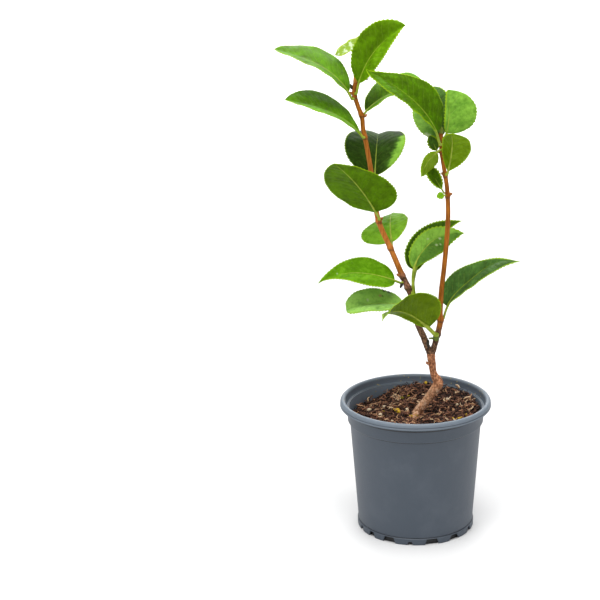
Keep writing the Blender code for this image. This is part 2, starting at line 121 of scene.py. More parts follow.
# Crumbs and chips: how many, detail of the ball, and the ranges of lift, size, flatness and tone
CRUMB_KINDS = [(3200, 1, (-0.8, 1.7), (0.5, 2.0), (0.5, 1.0), (0.0, 0.28)),
               (170, 2, (0.2, 1.5), (1.0, 2.3), (0.15, 0.4), (0.2, 0.8))]
# Loose bits that show on the soil: right, back and size, and for feed grains their yellowness
PEBBLES = [(-37, 8.5, 1.6), (-31.6, 7.8, 1.0), (-28, -2, 1.4), (-25, 14, 1.2), (-6.6, 3.6, 1.5),
           (26.3, 16.6, 2.3), (33.3, 7.5, 1.5), (30, -20, 1.2), (-18, -14, 1.1), (12, 24, 1.2),
           (-14, 22, 1.0), (43, 18, 1.2)]
PEBBLE_LIFT = 3.1
FEED_GRAINS = [(-15, 3.1, 2.4, 1.0), (-13.5, 0.5, 1.8, 1.0), (-16.5, 5.5, 1.5, 0.9), (0.6, -8.5, 1.7, 0.9),
               (-3, -9, 1.3, 0.7), (17.2, -5.5, 1.2, 1.0), (26.5, -19, 1.0, 0.7), (29, -17.5, 1.4, 0.9),
               (31.5, -19.5, 1.1, 0.75), (34.5, -17, 1.3, 0.85), (37, -16.5, 1.0, 0.7),
               (40.5, -8, 1.2, 0.8), (-10.8, 26, 1.7, 0.0), (11, 4, 1.1, 0.2), (-6, 28, 1.2, 0.5),
               (8, 47.5, 2.0, 0.8), (-26, 4, 1.1, 0.6)]
FEED_LIFT = 2.9
FEED_CLUSTER = 4          # grains at each place

# Limbs: (right, back, up, radius) along each middle line
TRUNK = [(1, -3, 92, 4.7), (1, -3, 94, 4.0), (3.4, -4, 98.5, 3.5), (9.2, -6, 107, 3.3),
         (17, -8, 119.5, 3.8), (17.8, -8, 123, 3.8), (14.4, -8, 130, 2.8), (13.2, -8, 137, 2.9),
         (12.4, -8, 144, 3.3), (12.2, -8, 147, 3.2)]
SPUR = [(13.2, -8, 137, 1.3), (10.2, -8.6, 138.6, 1.3), (8.6, -9, 139.4, 1.0)]
LEFT_STEM = [(9.7, -7.8, 151, 2.5), (6.4, -7, 160, 2.5), (1.8, -6, 171, 2.5), (-2.6, -4, 191, 2.4),
             (-10.4, -2, 209, 2.3), (-18.4, 0, 228, 2.1), (-28, 2, 250, 2.1), (-31, 3, 268, 2.0),
             (-33.6, 4, 288, 1.9), (-37, 5, 309, 1.8), (-39.6, 6, 322, 1.8), (-40.4, 6, 331, 1.8),
             (-43.6, 7, 340, 1.8), (-46.2, 7, 349, 1.7), (-45.2, 7, 356, 2.0), (-45, 7, 360, 1.5),
             (-46.5, 7, 371, 1.0)]
RIGHT_STEM = [(14.5, -8.5, 151.5, 2.4), (16.6, -9, 160, 2.3), (19.4, -10, 173, 2.3),
              (19.2, -10.5, 182, 2.1), (20.2, -11, 200, 2.0), (22, -12, 217, 1.9), (24.2, -12, 243, 1.9),
              (24.8, -13, 263, 1.8), (23.8, -13, 281, 1.7), (21.4, -14, 296, 1.6), (19.6, -14, 308, 1.6),
              (19.2, -14, 316, 1.5), (19.1, -14, 321, 1.6), (19.0, -14, 324, 0.8)]
ROOTS = [[(3, -4, 98, 2.4), (0.5, -7, 94.6, 2.3), (-2.5, -11, 92.0, 1.5), (-4, -14, 90.5, 1.0)],
         [(3.5, -3, 96.5, 2.2), (7, -5.5, 92.8, 1.6), (10, -8, 90.8, 1.0)]]
STEMS = {"left": LEFT_STEM, "right": RIGHT_STEM}
STEM_NODES = {"left": (185, 199, 208, 230, 251, 282, 316, 333, 347),
              "right": (163, 175, 274, 290, 308, 317)}
NODE_SWELL = 0.26
NODE_LENGTH = 1.7
SCAR_DROP = 1.2           # a leaf's scar lies this far below its node
SCAR_WIDTH = 0.5
STEM_ROUGH_TOP = {"left": 210, "right": 168}      # the bark is rough up to this height
ROUGH_FADE = 4
SMOOTH_RELIEF = 0.16      # share of the rough bark's relief that smooth bark keeps
# Heights where paler bark starts, is palest, starts to end and ends; the right stem has none
STEM_PALE = {"left": (204, 226, 296, 330), "right": (400, 401, 402, 403)}
STEM_TIP_COLOUR = (40, 12)    # how far below its top the tip's colour starts and is full
TRUNK_LIGHT = (126, 114)      # heights between which the trunk gets lighter downwards
FORK = (12.3, -8, 145)
LIMB_STEP = 0.7
TRUNK_STEP = 0.5
STEM_RESOLUTION = 8
TRUNK_RESOLUTION = 16
STALK_RESOLUTION = 3
# Flaky bark: size of its flakes and height of its relief
TRUNK_FLAKES = (1.7, 0.30)
STEM_FLAKES = (1.6, 0.34)
BARK_WARP_SIZE = 3.1
BARK_WARP = 1.3
BARK_RIDGE_SIZE = 0.9
BARK_CLEFT = (0.02, 0.26)     # distances between two flakes where their cleft is deepest and ends

# Leaves
TOOTH_PITCH = 2.3
TOOTH_ROWS = 4
TOOTH_DEPTH = 0.95
TOOTH_ZONE = 0.86         # the teeth stand out from this share of the half-width outwards
TOOTHED_HALF = 3          # narrower halves than this have smaller teeth
BLADE_COLUMNS = 20
COLUMN_CROWDING = 1.35    # how much closer the columns stand at the margin
BLADE_THICKNESS = 0.42
STALK_REACH = 1.4
STALK_HALF_WIDTH = 1.0
STALK_RADIUS = 0.95
STALK_STEP = 1.6
RIB_END = 0.96            # share of the leaf's length that the midrib reaches
RIB_SHARE = 0.72          # the midrib's thickness at the blade's base, as a share of a plain stalk's
RIB_TAPER = 0.75
RIB_SUNK = 0.25
RIB_LEAST = 0.12
TIP_HALF_WIDTH = 0.2
HOOK_POWER = 6            # how late the tip turns down
POINT_ONSET = 1.6         # how late a pointed leaf starts to narrow more
OUTER_FOLD = 0.3          # share of the fold that the outer half of each side keeps
SECTION_STEPS = 24
RIPPLE_SIZE = 9.0
RIPPLE_HEIGHT = 1.5
RIPPLED_HALF = 6          # narrower halves than this have lower ripples
NOTCH_LOBE = 9.0          # how far from its middle a notched end reaches furthest
VARIEGATED_LEAF = "left_leaf_12"

Leaf = namedtuple("Leaf", "name stem height tip face width stalk arch bow skew square fold hook widest "
                  "point full off sides")


def pair(value):
    """A leaf's value for its left half and its right half."""
    return value if isinstance(value, tuple) else (value, value)


def leaf(name, stem, height, tip, face, width, stalk=5.0, arch=0.0, bow=0.0, skew=0.0, square=2.0,
         fold=15.0, hook=0.0, widest=0.48, point=0.0, full=1.3, off=None, sides=(1.0, 1.0)):
    """One leaf: it leaves its stem at a height; tip is where its tip lies from there and face where
    its upper side looks, both as (right, back, up). arch lifts the middle towards the face and bow
    shifts it sideways; skew moves both bends towards the stem and square sharpens them at the ends.
    hook turns the tip down and fold raises both sides, in degrees. widest is the share of the
    blade's length before its widest place, point draws the tip out and full is low for a blade with
    blunt ends. off is the side of the stem that the stalk leaves from where that isn't under the
    leaf, and sides scales the left and right halves. widest and point may differ for the halves."""
    return Leaf(name, stem, height, tip, face, width, stalk, arch, bow, skew, square, fold, hook,
                pair(widest), pair(point), full, off, sides)


LEAVES = [
    leaf("left_leaf_01", "left", 185, (-52, -8, 0), (-0.1, -0.45, 0.9), 28, arch=4, fold=24, hook=2,
         widest=(0.55, 0.6), full=0.8, sides=(0.85, 1.0)),
    leaf("left_leaf_02", "left", 194, (42, 18, 44), (0.3, -0.8, 0.5), 27, stalk=14, arch=4, bow=-16,
         square=2.4, fold=10, widest=(0.44, 0.58), point=(0.3, 0.5), off=(3, -2), sides=(0.97, 0.85)),
    leaf("left_leaf_03", "left", 195, (42, 46, 46), (0.3, -0.8, 0.5), 28, stalk=14, arch=4, bow=-12,
         fold=10, widest=(0.27, 0.38), point=(0.2, 0.6), off=(2, 3), sides=(0.97, 0.6)),
    leaf("left_leaf_04", "left", 204, (-67, -4, 2), (-0.1, -0.55, 0.85), 28, arch=10, skew=-0.1, fold=12,
         hook=4, widest=(0.33, 0.4), point=(1.0, 0.15), sides=(0.95, 1.05)),
    leaf("left_leaf_05", "left", 230, (2, 46, 17), (-0.25, -0.5, 0.8), 42, stalk=3, arch=8, fold=-20,
         widest=(0.36, 0.5), point=(0.3, 0.4), sides=(1.22, 0.64)),
    leaf("left_leaf_06", "left", 252.5, (-32, -30, 50), (0.3, 0.9, 0.4), 49, stalk=7, arch=4, bow=-1,
         fold=8, widest=(0.27, 0.5), sides=(1.0, 1.04), off=(1, -3)),
    leaf("left_leaf_07", "left", 282, (4, 52, 31), (0, -0.8, 0.6), 48, stalk=3, arch=10, fold=17, hook=4,
         widest=(0.4, 0.5), sides=(1.04, 0.92)),
    leaf("left_leaf_08", "left", 316, (-60, -5, 30), (-0.2, -0.25, 1), 34, stalk=3, arch=7, skew=0.35,
         fold=22, widest=(0.5, 0.68), point=(0.2, 0.3), off=(-1, -3), sides=(0.8, 1.1)),
    leaf("left_leaf_09", "left", 333, (46.5, 42, 11), (0, -0.25, 1), 38, stalk=2, arch=7, skew=0.4,
         fold=28, widest=(0.75, 0.4), full=0.8, sides=(1.0, 0.35)),
    leaf("left_leaf_10", "left", 346, (-61, 2, 37), (-0.2, -0.2, 1), 30, stalk=5, arch=9, skew=0.35,
         fold=14, widest=(0.42, 0.46), sides=(0.75, 1.38)),
    leaf("left_leaf_11", "left", 349, (39, -10, 52), (-0.3, -0.85, 0.35), 31, stalk=8, arch=5, bow=-6,
         fold=26, widest=(0.55, 0.45), point=(0.1, 0.6), off=(2.5, -3), sides=(1.06, 0.7)),
    leaf("left_leaf_12", "left", 367, (-12.8, 9, 14), (0, -0.8, 0.5), 9, stalk=3, arch=3, bow=16,
         skew=-0.3, square=3, fold=5, widest=0.65, full=0.8, off=(1, 4)),
    leaf("right_leaf_01", "right", 163, (-43, -50, 31), (0, 0.8, 0.5), 45, stalk=8, arch=11, fold=28,
         hook=5, widest=(0.31, 0.45), point=(0, 0.6), off=(-1, -3), sides=(1.05, 0.5)),
    leaf("right_leaf_02", "right", 175, (60, -6, 48), (-0.4, -0.45, 0.8), 34, stalk=8, arch=7.5, bow=-9,
         skew=-0.15, square=3.4, fold=28, widest=(0.28, 0.68), point=(1.1, 0.8), full=1.1,
         sides=(0.9, 0.85)),
    leaf("right_leaf_03", "right", 275, (-8, -3, -1), (0, -0.8, 0.5), 5, stalk=1, arch=1, fold=10,
         off=(-3, -3)),
    leaf("right_leaf_04", "right", 276, (-15, 5, 20), (-0.4, -0.5, 0.7), 11, stalk=3, arch=3, fold=20,
         widest=0.6, point=0.3, off=(-3, 3), sides=(0.8, 0.9)),
    leaf("right_leaf_05", "right", 291, (4, -34, 37), (0.45, 0.8, 0.4), 29, stalk=3, arch=4, fold=30,
         widest=(0.62, 0.5), point=(0, 0.5), off=(2, -3), sides=(0.95, 0.7)),
    leaf("right_leaf_06", "right", 310, (-15, -13, -18), (-0.4, 0.8, 0.5), 15, stalk=2, arch=3, fold=10,
         widest=(0.45, 0.4), point=(0.3, 0.2), off=(-1.5, -3), sides=(0.7, 1.5)),
    leaf("right_leaf_07", "right", 312, (-7, 32, 40), (-0.2, -0.8, 0.5), 32, stalk=4, arch=5, fold=10,
         widest=(0.48, 0.55), off=(-1, 3), sides=(1.0, 0.8)),
    leaf("right_leaf_08", "right", 314, (-55, -12, 58), (0.6, -0.5, 0.6), 34, stalk=9, arch=11, skew=0.25,
         fold=24, widest=(0.65, 0.36), point=(0.2, 0.6), off=(-1, -3), sides=(0.85, 1.25)),
    leaf("right_leaf_09", "right", 308, (-9, 2.5, 12), (0, -0.9, 0.4), 8, stalk=1.5, arch=1, fold=5,
         off=(-3.2, 1)),
    leaf("right_leaf_10", "right", 318, (5, 11, 35), (0.6, -0.7, 0.4), 45, stalk=4, arch=3, fold=22,
         widest=(0.42, 0.52), full=1.0, off=(3, 0), sides=(0.2, 1.0)),
]

Look = namedtuple("Look", "upper under fade trim notch wave glossy stalk droop marks")


def look(upper=(0.55, 0.55, 0.4), under=(0.35, 0.35, 0.3), fade=0.0, trim=(1.0, 1.0), notch=0.0, wave=0.7,
         glossy=False, stalk=1.0, droop=(0, 0, 0), marks=()):
    """How one leaf differs from the others. upper and under are each the tone of the left half, the
    tone of the right half and how cool the green is, from -1 for olive to 1; the tones paint light and
    shade as well as the leaf's own green, lighter for a lit leaf or half and darker for a shaded one.
    fade is how much lighter the base is than the tip, trim scales the width of each half, notch is how
    far the end's two lobes pass its middle, wave is the height of the margin's ripples, stalk scales the
    stalk's thickness, droop shifts the tip, and marks are patches as (share along, share across,
    radius, kind), where a lit mark is a painted pool of light."""
    return Look(upper, under, fade, trim, notch, wave, glossy, stalk, droop, marks)


# Each leaf's tones paint its light and shade along with its own green.
LOOKS = {
    "left_leaf_01": look(upper=(0.90, 0.96, 0.95), glossy=True,
                         marks=((0.40, 0.52, 1.5, "scar"), (0.36, 0.46, 0.9, "dark"),
                                (0.62, 0.3, 1.1, "pale"), (0.25, 0.95, 1.9, "dark"),
                                (0.33, 0.97, 1.6, "dark"))),
    # The pale marks on this leaf are a painted sheen.
    "left_leaf_02": look(upper=(0.92, 0.52, 0.55), fade=-0.2, trim=(0.76, 1.0), glossy=True, stalk=1.35,
                         marks=((0.55, 0.35, 1.2, "pale"), (0.62, 0.5, 0.9, "pale"),
                                (0.5, -0.35, 0.8, "pale"), (0.66, 0.15, 0.9, "pale"))),
    "left_leaf_03": look(upper=(0.20, 0.20, 0.2), trim=(1.0, 0.7), stalk=1.2),
    "left_leaf_04": look(upper=(0.70, 0.68, 0.0),
                         marks=((0.75, 0.1, 0.7, "pale"), (0.12, 0.2, 0.8, "scar"))),
    "left_leaf_05": look(upper=(0.82, 0.90, 0.15)),
    "left_leaf_06": look(upper=(0.44, 0.44, -0.25), under=(0.40, 0.40, -0.2)),
    "left_leaf_07": look(upper=(0.06, 0.05, 0.5), notch=8.5, droop=(0, 0, -1.5),
                         marks=((0.53, 1.0, 6.0, "lit"), (0.42, 1.0, 8.0, "lit"), (0.31, 1.0, 8.5, "lit"),
                                (0.20, 1.0, 6.5, "lit"))),
    "left_leaf_08": look(upper=(0.60, 0.52, 0.05)),
    "left_leaf_09": look(upper=(0.40, 0.70, 0.1), fade=-0.6, droop=(2, 0, 6)),
    "left_leaf_10": look(upper=(0.54, 0.52, 0.0), glossy=True),
    "left_leaf_11": look(upper=(0.46, 0.64, -0.2)),
    "left_leaf_12": look(upper=(1.0, 1.0, 0.5), droop=(-2, 0, -4)),
    "right_leaf_01": look(upper=(0.44, 0.44, -0.8), under=(0.44, 0.44, -0.5), fade=0.3, glossy=True,
                          stalk=1.7),
    "right_leaf_02": look(upper=(0.28, 0.20, 0.85), glossy=True),
    "right_leaf_03": look(upper=(0.95, 0.95, 0.0), wave=0.2),
    "right_leaf_04": look(upper=(0.30, 0.28, 0.0), wave=0.6),
    "right_leaf_05": look(upper=(0.74, 0.62, -0.6), under=(0.58, 0.46, -0.3)),
    "right_leaf_06": look(upper=(0.98, 0.94, -0.6), under=(0.78, 0.70, -0.3), wave=0.9),
    "right_leaf_07": look(upper=(0.74, 0.24, 0.7), glossy=True, marks=((0.10, -0.85, 3.0, "pale"),)),
    "right_leaf_08": look(upper=(0.40, 0.34, 0.0)),
    "right_leaf_09": look(upper=(0.24, 0.24, 0.5), wave=0.4),
    "right_leaf_10": look(upper=(0.82, 0.78, 0.45), glossy=True),
}


# Small tools

def unit(vector):
    return vector.normalized()


def ease(value, low, high):
    """0 below low, 1 above high and a smooth step between."""
    share = min(1.0, max(0.0, (value - low) / (high - low)))
    return share * share * (3 - 2 * share)


def placed(name, data):
    """A new object in the scene."""
    made = bpy.data.objects.new(name, data)
    bpy.context.scene.collection.objects.link(made)
    return made


def show(name, data, materials, node=None):
    """A piece of the plant: it rides on the one body and may stand for a solid."""
    piece = placed(name, data)
    for material in materials:
        data.materials.append(material)
    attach(piece, "root")
    if node:
        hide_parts(node)


def applied(data, modifiers=()):
    """The mesh that data gives once modifiers, as (type, settings), are applied to it."""
    helper = placed("helper", data)
    for kind, settings in modifiers:
        modifier = helper.modifiers.new(kind, kind)
        for key, value in settings.items():
            setattr(modifier, key, value)
    mesh = bpy.data.meshes.new_from_object(helper.evaluated_get(bpy.context.evaluated_depsgraph_get()))
    bpy.data.objects.remove(helper)
    return mesh


def store(mesh, name, values):
    """Stores one value per point on the mesh, for its material to read."""
    mesh.attributes.new(name, "FLOAT", "POINT").data.foreach_set("value", values)


def mesh_of(bm, name, smooth=True):
    mesh = bpy.data.meshes.new(name)
    bm.to_mesh(mesh)
    bm.free()
    if smooth:
        mesh.shade_smooth()
    return mesh


class Heap:
    """Points in millimetres and faces gathered for one mesh, with values stored at the points."""

    def __init__(self):
        self.points = []
        self.faces = []
        self.values = {}

    def add(self, points, faces, **values):
        """Adds faces that count from the first of points; a value is one number or one per point."""
        first = len(self.points)
        self.points += [point * MM for point in points]
        self.faces += [[first + index for index in face] for face in faces]
        for name, value in values.items():
            each = value if isinstance(value, list) else [value] * len(points)
            self.values.setdefault(name, []).extend(each)

    def mesh(self, name, smooth=True):
        mesh = bpy.data.meshes.new(name)
        mesh.from_pydata(self.points, [], self.faces)
        for key, values in self.values.items():
            store(mesh, key, values)
        if smooth:
            mesh.shade_smooth()
        return mesh


def smooth_route(points, step):
    """Points about a step apart on the smooth line through points, each with its radius."""
    rows = [Vector(p) for p in points]
    ends = [2 * rows[0] - rows[1]] + rows + [2 * rows[-1] - rows[-2]]
    route = []
    for p0, p1, p2, p3 in zip(ends, ends[1:], ends[2:], ends[3:]):
        count = max(1, round((p2 - p1).length / step))
        for i in range(count):
            t = i / count
            route.append(0.5 * (2 * p1 + (p2 - p0) * t + (2 * p0 - 5 * p1 + 4 * p2 - p3) * t ** 2
                                + (3 * p1 - p0 - 3 * p2 + p3) * t ** 3))
    return route + [rows[-1]]


def tubes(name, routes, resolution):
    """One curve whose splines follow routes of (x, y, z, radius) rows, with closed ends."""
    curve = bpy.data.curves.new(name, "CURVE")
    curve.dimensions = "3D"
    curve.bevel_depth = MM
    curve.bevel_resolution = resolution
    curve.use_fill_caps = True
    for route in routes:
        spline = curve.splines.new("POLY")
        spline.points.add(len(route) - 1)
        for point, row in zip(spline.points, route):
            point.co = (*(Vector(row[:3]) * MM), 1.0)
            point.radius = row[3]
        spline.use_smooth = True
    return curve


# Materials

class Flow:
    """A socket of a material. Python's operators on it add Math nodes and give a new Flow."""

    def __init__(self, tree, socket=None):
        self.tree = tree
        self.socket = socket

    def node(self, kind, settings=None, inputs=None, output=0):
        """Adds a node, with its settings first and then its sockets' values or links."""
        node = self.tree.nodes.new(kind)
        for key, value in (settings or {}).items():
            if key == "stops":
                while len(node.color_ramp.elements) < len(value):
                    node.color_ramp.elements.new(0.5)
                for element, (position, colour) in zip(node.color_ramp.elements, value):
                    element.position = position
                    element.color = (*colour, 1.0)
            else:
                setattr(node, key, value)
        for key, value in (inputs or {}).items():
            if isinstance(value, Flow):
                self.tree.links.new(value.socket, node.inputs[key])
            else:
                node.inputs[key].default_value = value
        return Flow(self.tree, node.outputs[output])

    def math(self, operation, *values):
        return self.node("ShaderNodeMath", {"operation": operation}, dict(enumerate(values)))

    def __add__(self, other):
        return self.math("ADD", self, other)

    __radd__ = __add__

    def __sub__(self, other):
        return self.math("SUBTRACT", self, other)

    def __rsub__(self, other):
        return self.math("SUBTRACT", other, self)

    def __mul__(self, other):
        return self.math("MULTIPLY", self, other)

    __rmul__ = __mul__

    def __truediv__(self, other):
        return self.math("DIVIDE", self, other)

    def __abs__(self):
        return self.math("ABSOLUTE", self)

    def step(self, low, high):
        """0 below low, 1 above high and a smooth step between; high may lie below low."""
        inputs = {"Value": self, "From Min": low, "From Max": high}
        return self.node("ShaderNodeMapRange", {"interpolation_type": "SMOOTHSTEP"}, inputs, "Result")

    def place(self):
        """The surface's point in the object's own frame, in metres."""
        return self.node("ShaderNodeTexCoord", output="Object")

    def height(self):
        """How high a place lies, in metres."""
        return self.node("ShaderNodeSeparateXYZ", None, {0: self}, "Z")

    def length(self):
        """How far a place lies from the origin, in metres."""
        return self.node("ShaderNodeVectorMath", {"operation": "LENGTH"}, {0: self}, "Value")

    def stretched(self, x, y, z):
        """A place scaled by different amounts along the axes."""
        return self.node("ShaderNodeVectorMath", {"operation": "MULTIPLY"}, {0: self, 1: (x, y, z)})

    def noise(self, scale, detail=3.0, roughness=0.55):
        inputs = {"Vector": self, "Scale": scale, "Detail": detail, "Roughness": roughness}
        return self.node("ShaderNodeTexNoise", None, inputs, "Fac")

    def cells(self, scale, feature="F1"):
        inputs = {"Vector": self, "Scale": scale}
        return self.node("ShaderNodeTexVoronoi", {"feature": feature}, inputs, "Distance")

    def stored(self, name):
        """A value that the mesh stores at its points."""
        return self.node("ShaderNodeAttribute", {"attribute_name": name}, None, "Fac")

    def mix(self, low, high):
        """The colour low where this value is 0 and high where it is 1."""
        colours = {}
        for index, colour in ((6, low), (7, high)):
            colours[index] = colour if isinstance(colour, Flow) else (*colour, 1.0)
        return self.node("ShaderNodeMix", {"data_type": "RGBA"}, {0: self, **colours}, 2)

    def ramp(self, stops):
        """The colour at this value along stops of (position, colour)."""
        return self.node("ShaderNodeValToRGB", {"stops": stops}, {0: self}, "Color")

    def bump(self, strength, distance):
        inputs = {"Strength": strength, "Distance": distance, "Height": self}
        return self.node("ShaderNodeBump", None, inputs, "Normal")


def finish(name, fixed, varying):
    """A Principled material: fixed values by socket, and varying ones that a function gives."""
    material = bpy.data.materials.new(name)
    material.use_nodes = True
    tree = material.node_tree
    shader = tree.nodes["Principled BSDF"]
    for socket, value in fixed.items():
        shader.inputs[socket].default_value = value
    for socket, flow in varying(Flow(tree)).items():
        tree.links.new(flow.socket, shader.inputs[socket])
    return material


def surface(colour, rough, relief, strength, depth):
    """What a material varies: its colour, its roughness and the bump of its relief."""
    return {"Base Color": colour, "Roughness": rough, "Normal": relief.bump(strength, depth)}


PLASTIC = ((0.055, 0.071, 0.094), (0.070, 0.087, 0.112))
# A lighter plastic for the painted highlights on the rim's top and the inner ledge
HIGHLIGHT_PLASTIC = (0.130, 0.160, 0.195)
# A lighter copy of the plastic for the inner wall's painted light
LIT_INNER_PLASTIC = (0.170, 0.208, 0.262)
# Painted shade for the crease under the rim, the lines at the collar's foot and over the foot ring, and the
# walls behind the notches
PAINTED_SHADE = (0.008, 0.009, 0.011)
DUST = (0.30, 0.24, 0.11)


def rise(value, low, high):
    """The step of a length in metres between two marks in millimetres."""
    return value.step(low * MM, high * MM)


def line_round(height, level, reach=0.6):
    """1 on a thin line round the pot at a level and 0 beyond its reach, both in millimetres."""
    return rise(abs(height - level * MM), reach, reach - 0.5)


def moulded_plastic(start):
    """Grey-blue plastic with a fine grain, a lighter painted-lit inner wall, painted highlights on the rim
    and the inner ledge, painted shade under the rim, at the collar's foot, over the foot ring and behind the
    notches, and dust inside.
    """
    place = start.place()
    height = place.height()
    radius = place.stretched(1, 1, 0).length()
    patches = place.noise(30, 4, 0.6)
    grain = place.noise(900, 2, 0.5)
    colour = patches.step(0.45, 0.75).mix(*PLASTIC)
    inside = start.stored("inner")
    # Painted light: the inner wall is lighter than the outside, most of all below the ledge.
    low_wall = rise(height, LEDGE_HEIGHT, LEDGE_HEIGHT - 1)
    colour = (inside * (0.25 + 0.75 * low_wall)).mix(colour, LIT_INNER_PLASTIC)
    # Painted highlights on the inner ledge and the rim's top, broken along the rim's groove by a painted
    # shadow line.
    ledge = line_round(height, LEDGE_HEIGHT - 0.2, 0.9) * inside
    rim = rise(height, RIM_TOP - 4.9, RIM_TOP - 4.3) * rise(radius, MOUTH_RADIUS - 0.1, MOUTH_RADIUS + 0.8)
    groove_shade = line_round(height, RIM_TOP - 3.1) * rise(radius, RIM_RADIUS - 1.0, RIM_RADIUS - 0.7)
    colour = (rim * (1 - groove_shade * 0.7) + ledge * 0.8).mix(colour, HIGHLIGHT_PLASTIC)
    # Painted shade: a dark crease under the rim, a dark line at the collar's foot and one over the foot
    # ring, and dark walls inside the foot and behind the notches.
    under_rim_shade = rise(height, RIM_TOP - 9.0, RIM_TOP - 7.8) * rise(radius, RIM_RADIUS - 1.0, RIM_RADIUS - 2.5)
    under_rim_shade = under_rim_shade * rise(height, RIM_TOP - 4, RIM_TOP - 5) * (1 - inside)
    collar_shade_line = line_round(height, COLLAR_FOOT - 0.2) * (1 - inside) * 0.7
    ring_shade_line = line_round(height, FOOT_RING_HEIGHT + 0.4)
    ring_shade_line = ring_shade_line * rise(radius, BODY_FOOT_RADIUS - 2.2, BODY_FOOT_RADIUS - 1.2)
    under = rise(height, FOOT_RING_HEIGHT + 0.1, FOOT_RING_HEIGHT - 0.2)
    under = under * rise(radius, FOOT_RING_RADIUS - 1.0, FOOT_RING_RADIUS - 1.4)
    painted_shade = under_rim_shade * 0.9 + collar_shade_line + ring_shade_line * 0.7 + under
    colour = painted_shade.mix(colour, PAINTED_SHADE)
    specks = place.cells(330).step(0.24, 0.15) * place.noise(60, 2).step(0.50, 0.58)
    colour = (inside * specks).mix(colour, DUST)
    rough = 0.42 + 0.12 * patches + 0.05 * grain
    relief = grain + 3.0 * place.noise(160, 2)
    return surface(colour, rough, relief, 0.10, 0.0004)


SOIL_TONES = ((0.0, (0.010, 0.006, 0.005)), (0.22, (0.060, 0.027, 0.018)), (0.45, (0.170, 0.074, 0.045)),
              (0.65, (0.330, 0.150, 0.080)), (0.84, (0.540, 0.310, 0.165)), (1.0, (0.700, 0.520, 0.330)))


def peat(start):
    """Damp peat: dark, crumbly and flecked."""
    place = start.place()
    coarse = place.noise(300, 5, 0.7)
    fine = place.noise(1400, 3, 0.7)
    tone = (coarse * 0.9 + fine * 0.5 - 0.80) * 1.1
    relief = coarse + fine * 0.5
    return surface(tone.ramp(SOIL_TONES), 0.82 + 0.12 * fine, relief, 0.9, 0.0015)


def crumbs_finish(start):
    """Crumbs, chips and fibres of bark, each with its own stored tone."""
    grain = start.place().noise(1700, 4, 0.65)
    tone = start.stored("tone") + (grain - 0.5) * 0.45
    return surface(tone.ramp(SOIL_TONES), 0.72 + 0.2 * grain, grain, 0.6, 0.0005)


PEBBLE_CREAMS = ((0.50, 0.36, 0.22), (0.90, 0.76, 0.55))


def pebble_finish(start):
    """Cream pebbles and perlite with darker grains."""
    grain = start.place().noise(900, 4, 0.6)
    colour = grain.step(0.35, 0.7).mix(*PEBBLE_CREAMS)
    return surface(colour, 0.6 + 0.2 * grain, grain, 0.5, 0.0004)


MOSS_OR_FEED = ((0.10, 0.13, 0.008), (0.66, 0.44, 0.012))
FEED_SHADE = (0.50, 0.25, 0.02)


def feed_finish(start):
    """Yellow grains of slow-release feed and green grains of moss."""
    grain = start.place().noise(1300, 3, 0.6)
    colour = start.stored("tone").mix(*MOSS_OR_FEED)
    colour = (grain.step(0.35, 0.7) * 0.7).mix(colour, FEED_SHADE)
    return surface(colour, 0.55 + 0.2 * grain, grain, 0.5, 0.0004)


OLD_BARK_TONES = ((0.0, (0.075, 0.024, 0.010)), (0.25, (0.270, 0.092, 0.038)), (0.5, (0.560, 0.230, 0.105)),
                  (0.75, (0.720, 0.360, 0.190)), (1.0, (0.800, 0.540, 0.360)))
OLD_BARK_CLEFT = (0.050, 0.022, 0.012)


def old_bark(start):
    """Flaky red-tan bark with dark clefts, lighter on its raised flakes and at its foot."""
    place = start.place()
    flakes = place.stretched(1, 1, 0.35).noise(700, 5, 0.65)
    broad = place.stretched(1, 1, 0.45).noise(150, 3, 0.55)
    raised = start.stored("relief")
    tone = flakes * 0.8 + broad * 0.5 + raised * 0.45 - 0.42 + start.stored("lower") * 0.36
    colour = (start.stored("cleft") * 0.6).mix(tone.ramp(OLD_BARK_TONES), OLD_BARK_CLEFT)
    return surface(colour, 0.74 + 0.2 * flakes, flakes + broad * 0.6, 0.9, 0.0010)


# Young bark, each with its dark and its light streaks or flakes
SMOOTH_BARK = ((0.190, 0.056, 0.004), (0.430, 0.138, 0.012))
PALE_BARK = ((0.340, 0.100, 0.014), (0.580, 0.200, 0.034))
TIP_BARK = ((0.170, 0.046, 0.006), (0.340, 0.104, 0.012))
GREY_BARK = ((0.060, 0.030, 0.018), (0.330, 0.180, 0.100))
RED_BARK = ((0.110, 0.042, 0.026), (0.460, 0.220, 0.130))
YOUNG_BARK_CLEFT = (0.026, 0.014, 0.009)
YOUNG_BARK_SCAR = (0.060, 0.034, 0.020)
GREY_TO_RED = (176, 186)      # heights between which rough bark turns from grey to red


def shoot_bark(start):
    """Young bark: rough, grey and then redder below, smooth and orange-brown above, darker at the tips."""
    place = start.place()
    rough = start.stored("rough")
    streaks = place.stretched(1, 1, 0.12).noise(700, 4, 0.6)
    flakes = place.stretched(1, 1, 0.4).noise(650, 5, 0.7)
    streaky = streaks.step(0.3, 0.7)
    flaked = flakes.step(0.32, 0.68)
    colour = start.stored("pale").mix(streaky.mix(*SMOOTH_BARK), streaky.mix(*PALE_BARK))
    colour = start.stored("tip").mix(colour, streaky.mix(*TIP_BARK))
    rough_colour = rise(place.height(), *GREY_TO_RED).mix(flaked.mix(*GREY_BARK), flaked.mix(*RED_BARK))
    colour = rough.mix(colour, rough_colour)
    colour = (start.stored("cleft") * rough * 0.8).mix(colour, YOUNG_BARK_CLEFT)
    colour = (start.stored("scar") * 0.8).mix(colour, YOUNG_BARK_SCAR)
    relief = flakes * rough + streaks * 0.25
    return surface(colour, 0.46 + 0.35 * rough + 0.1 * streaks, relief, 0.8, 0.0008)


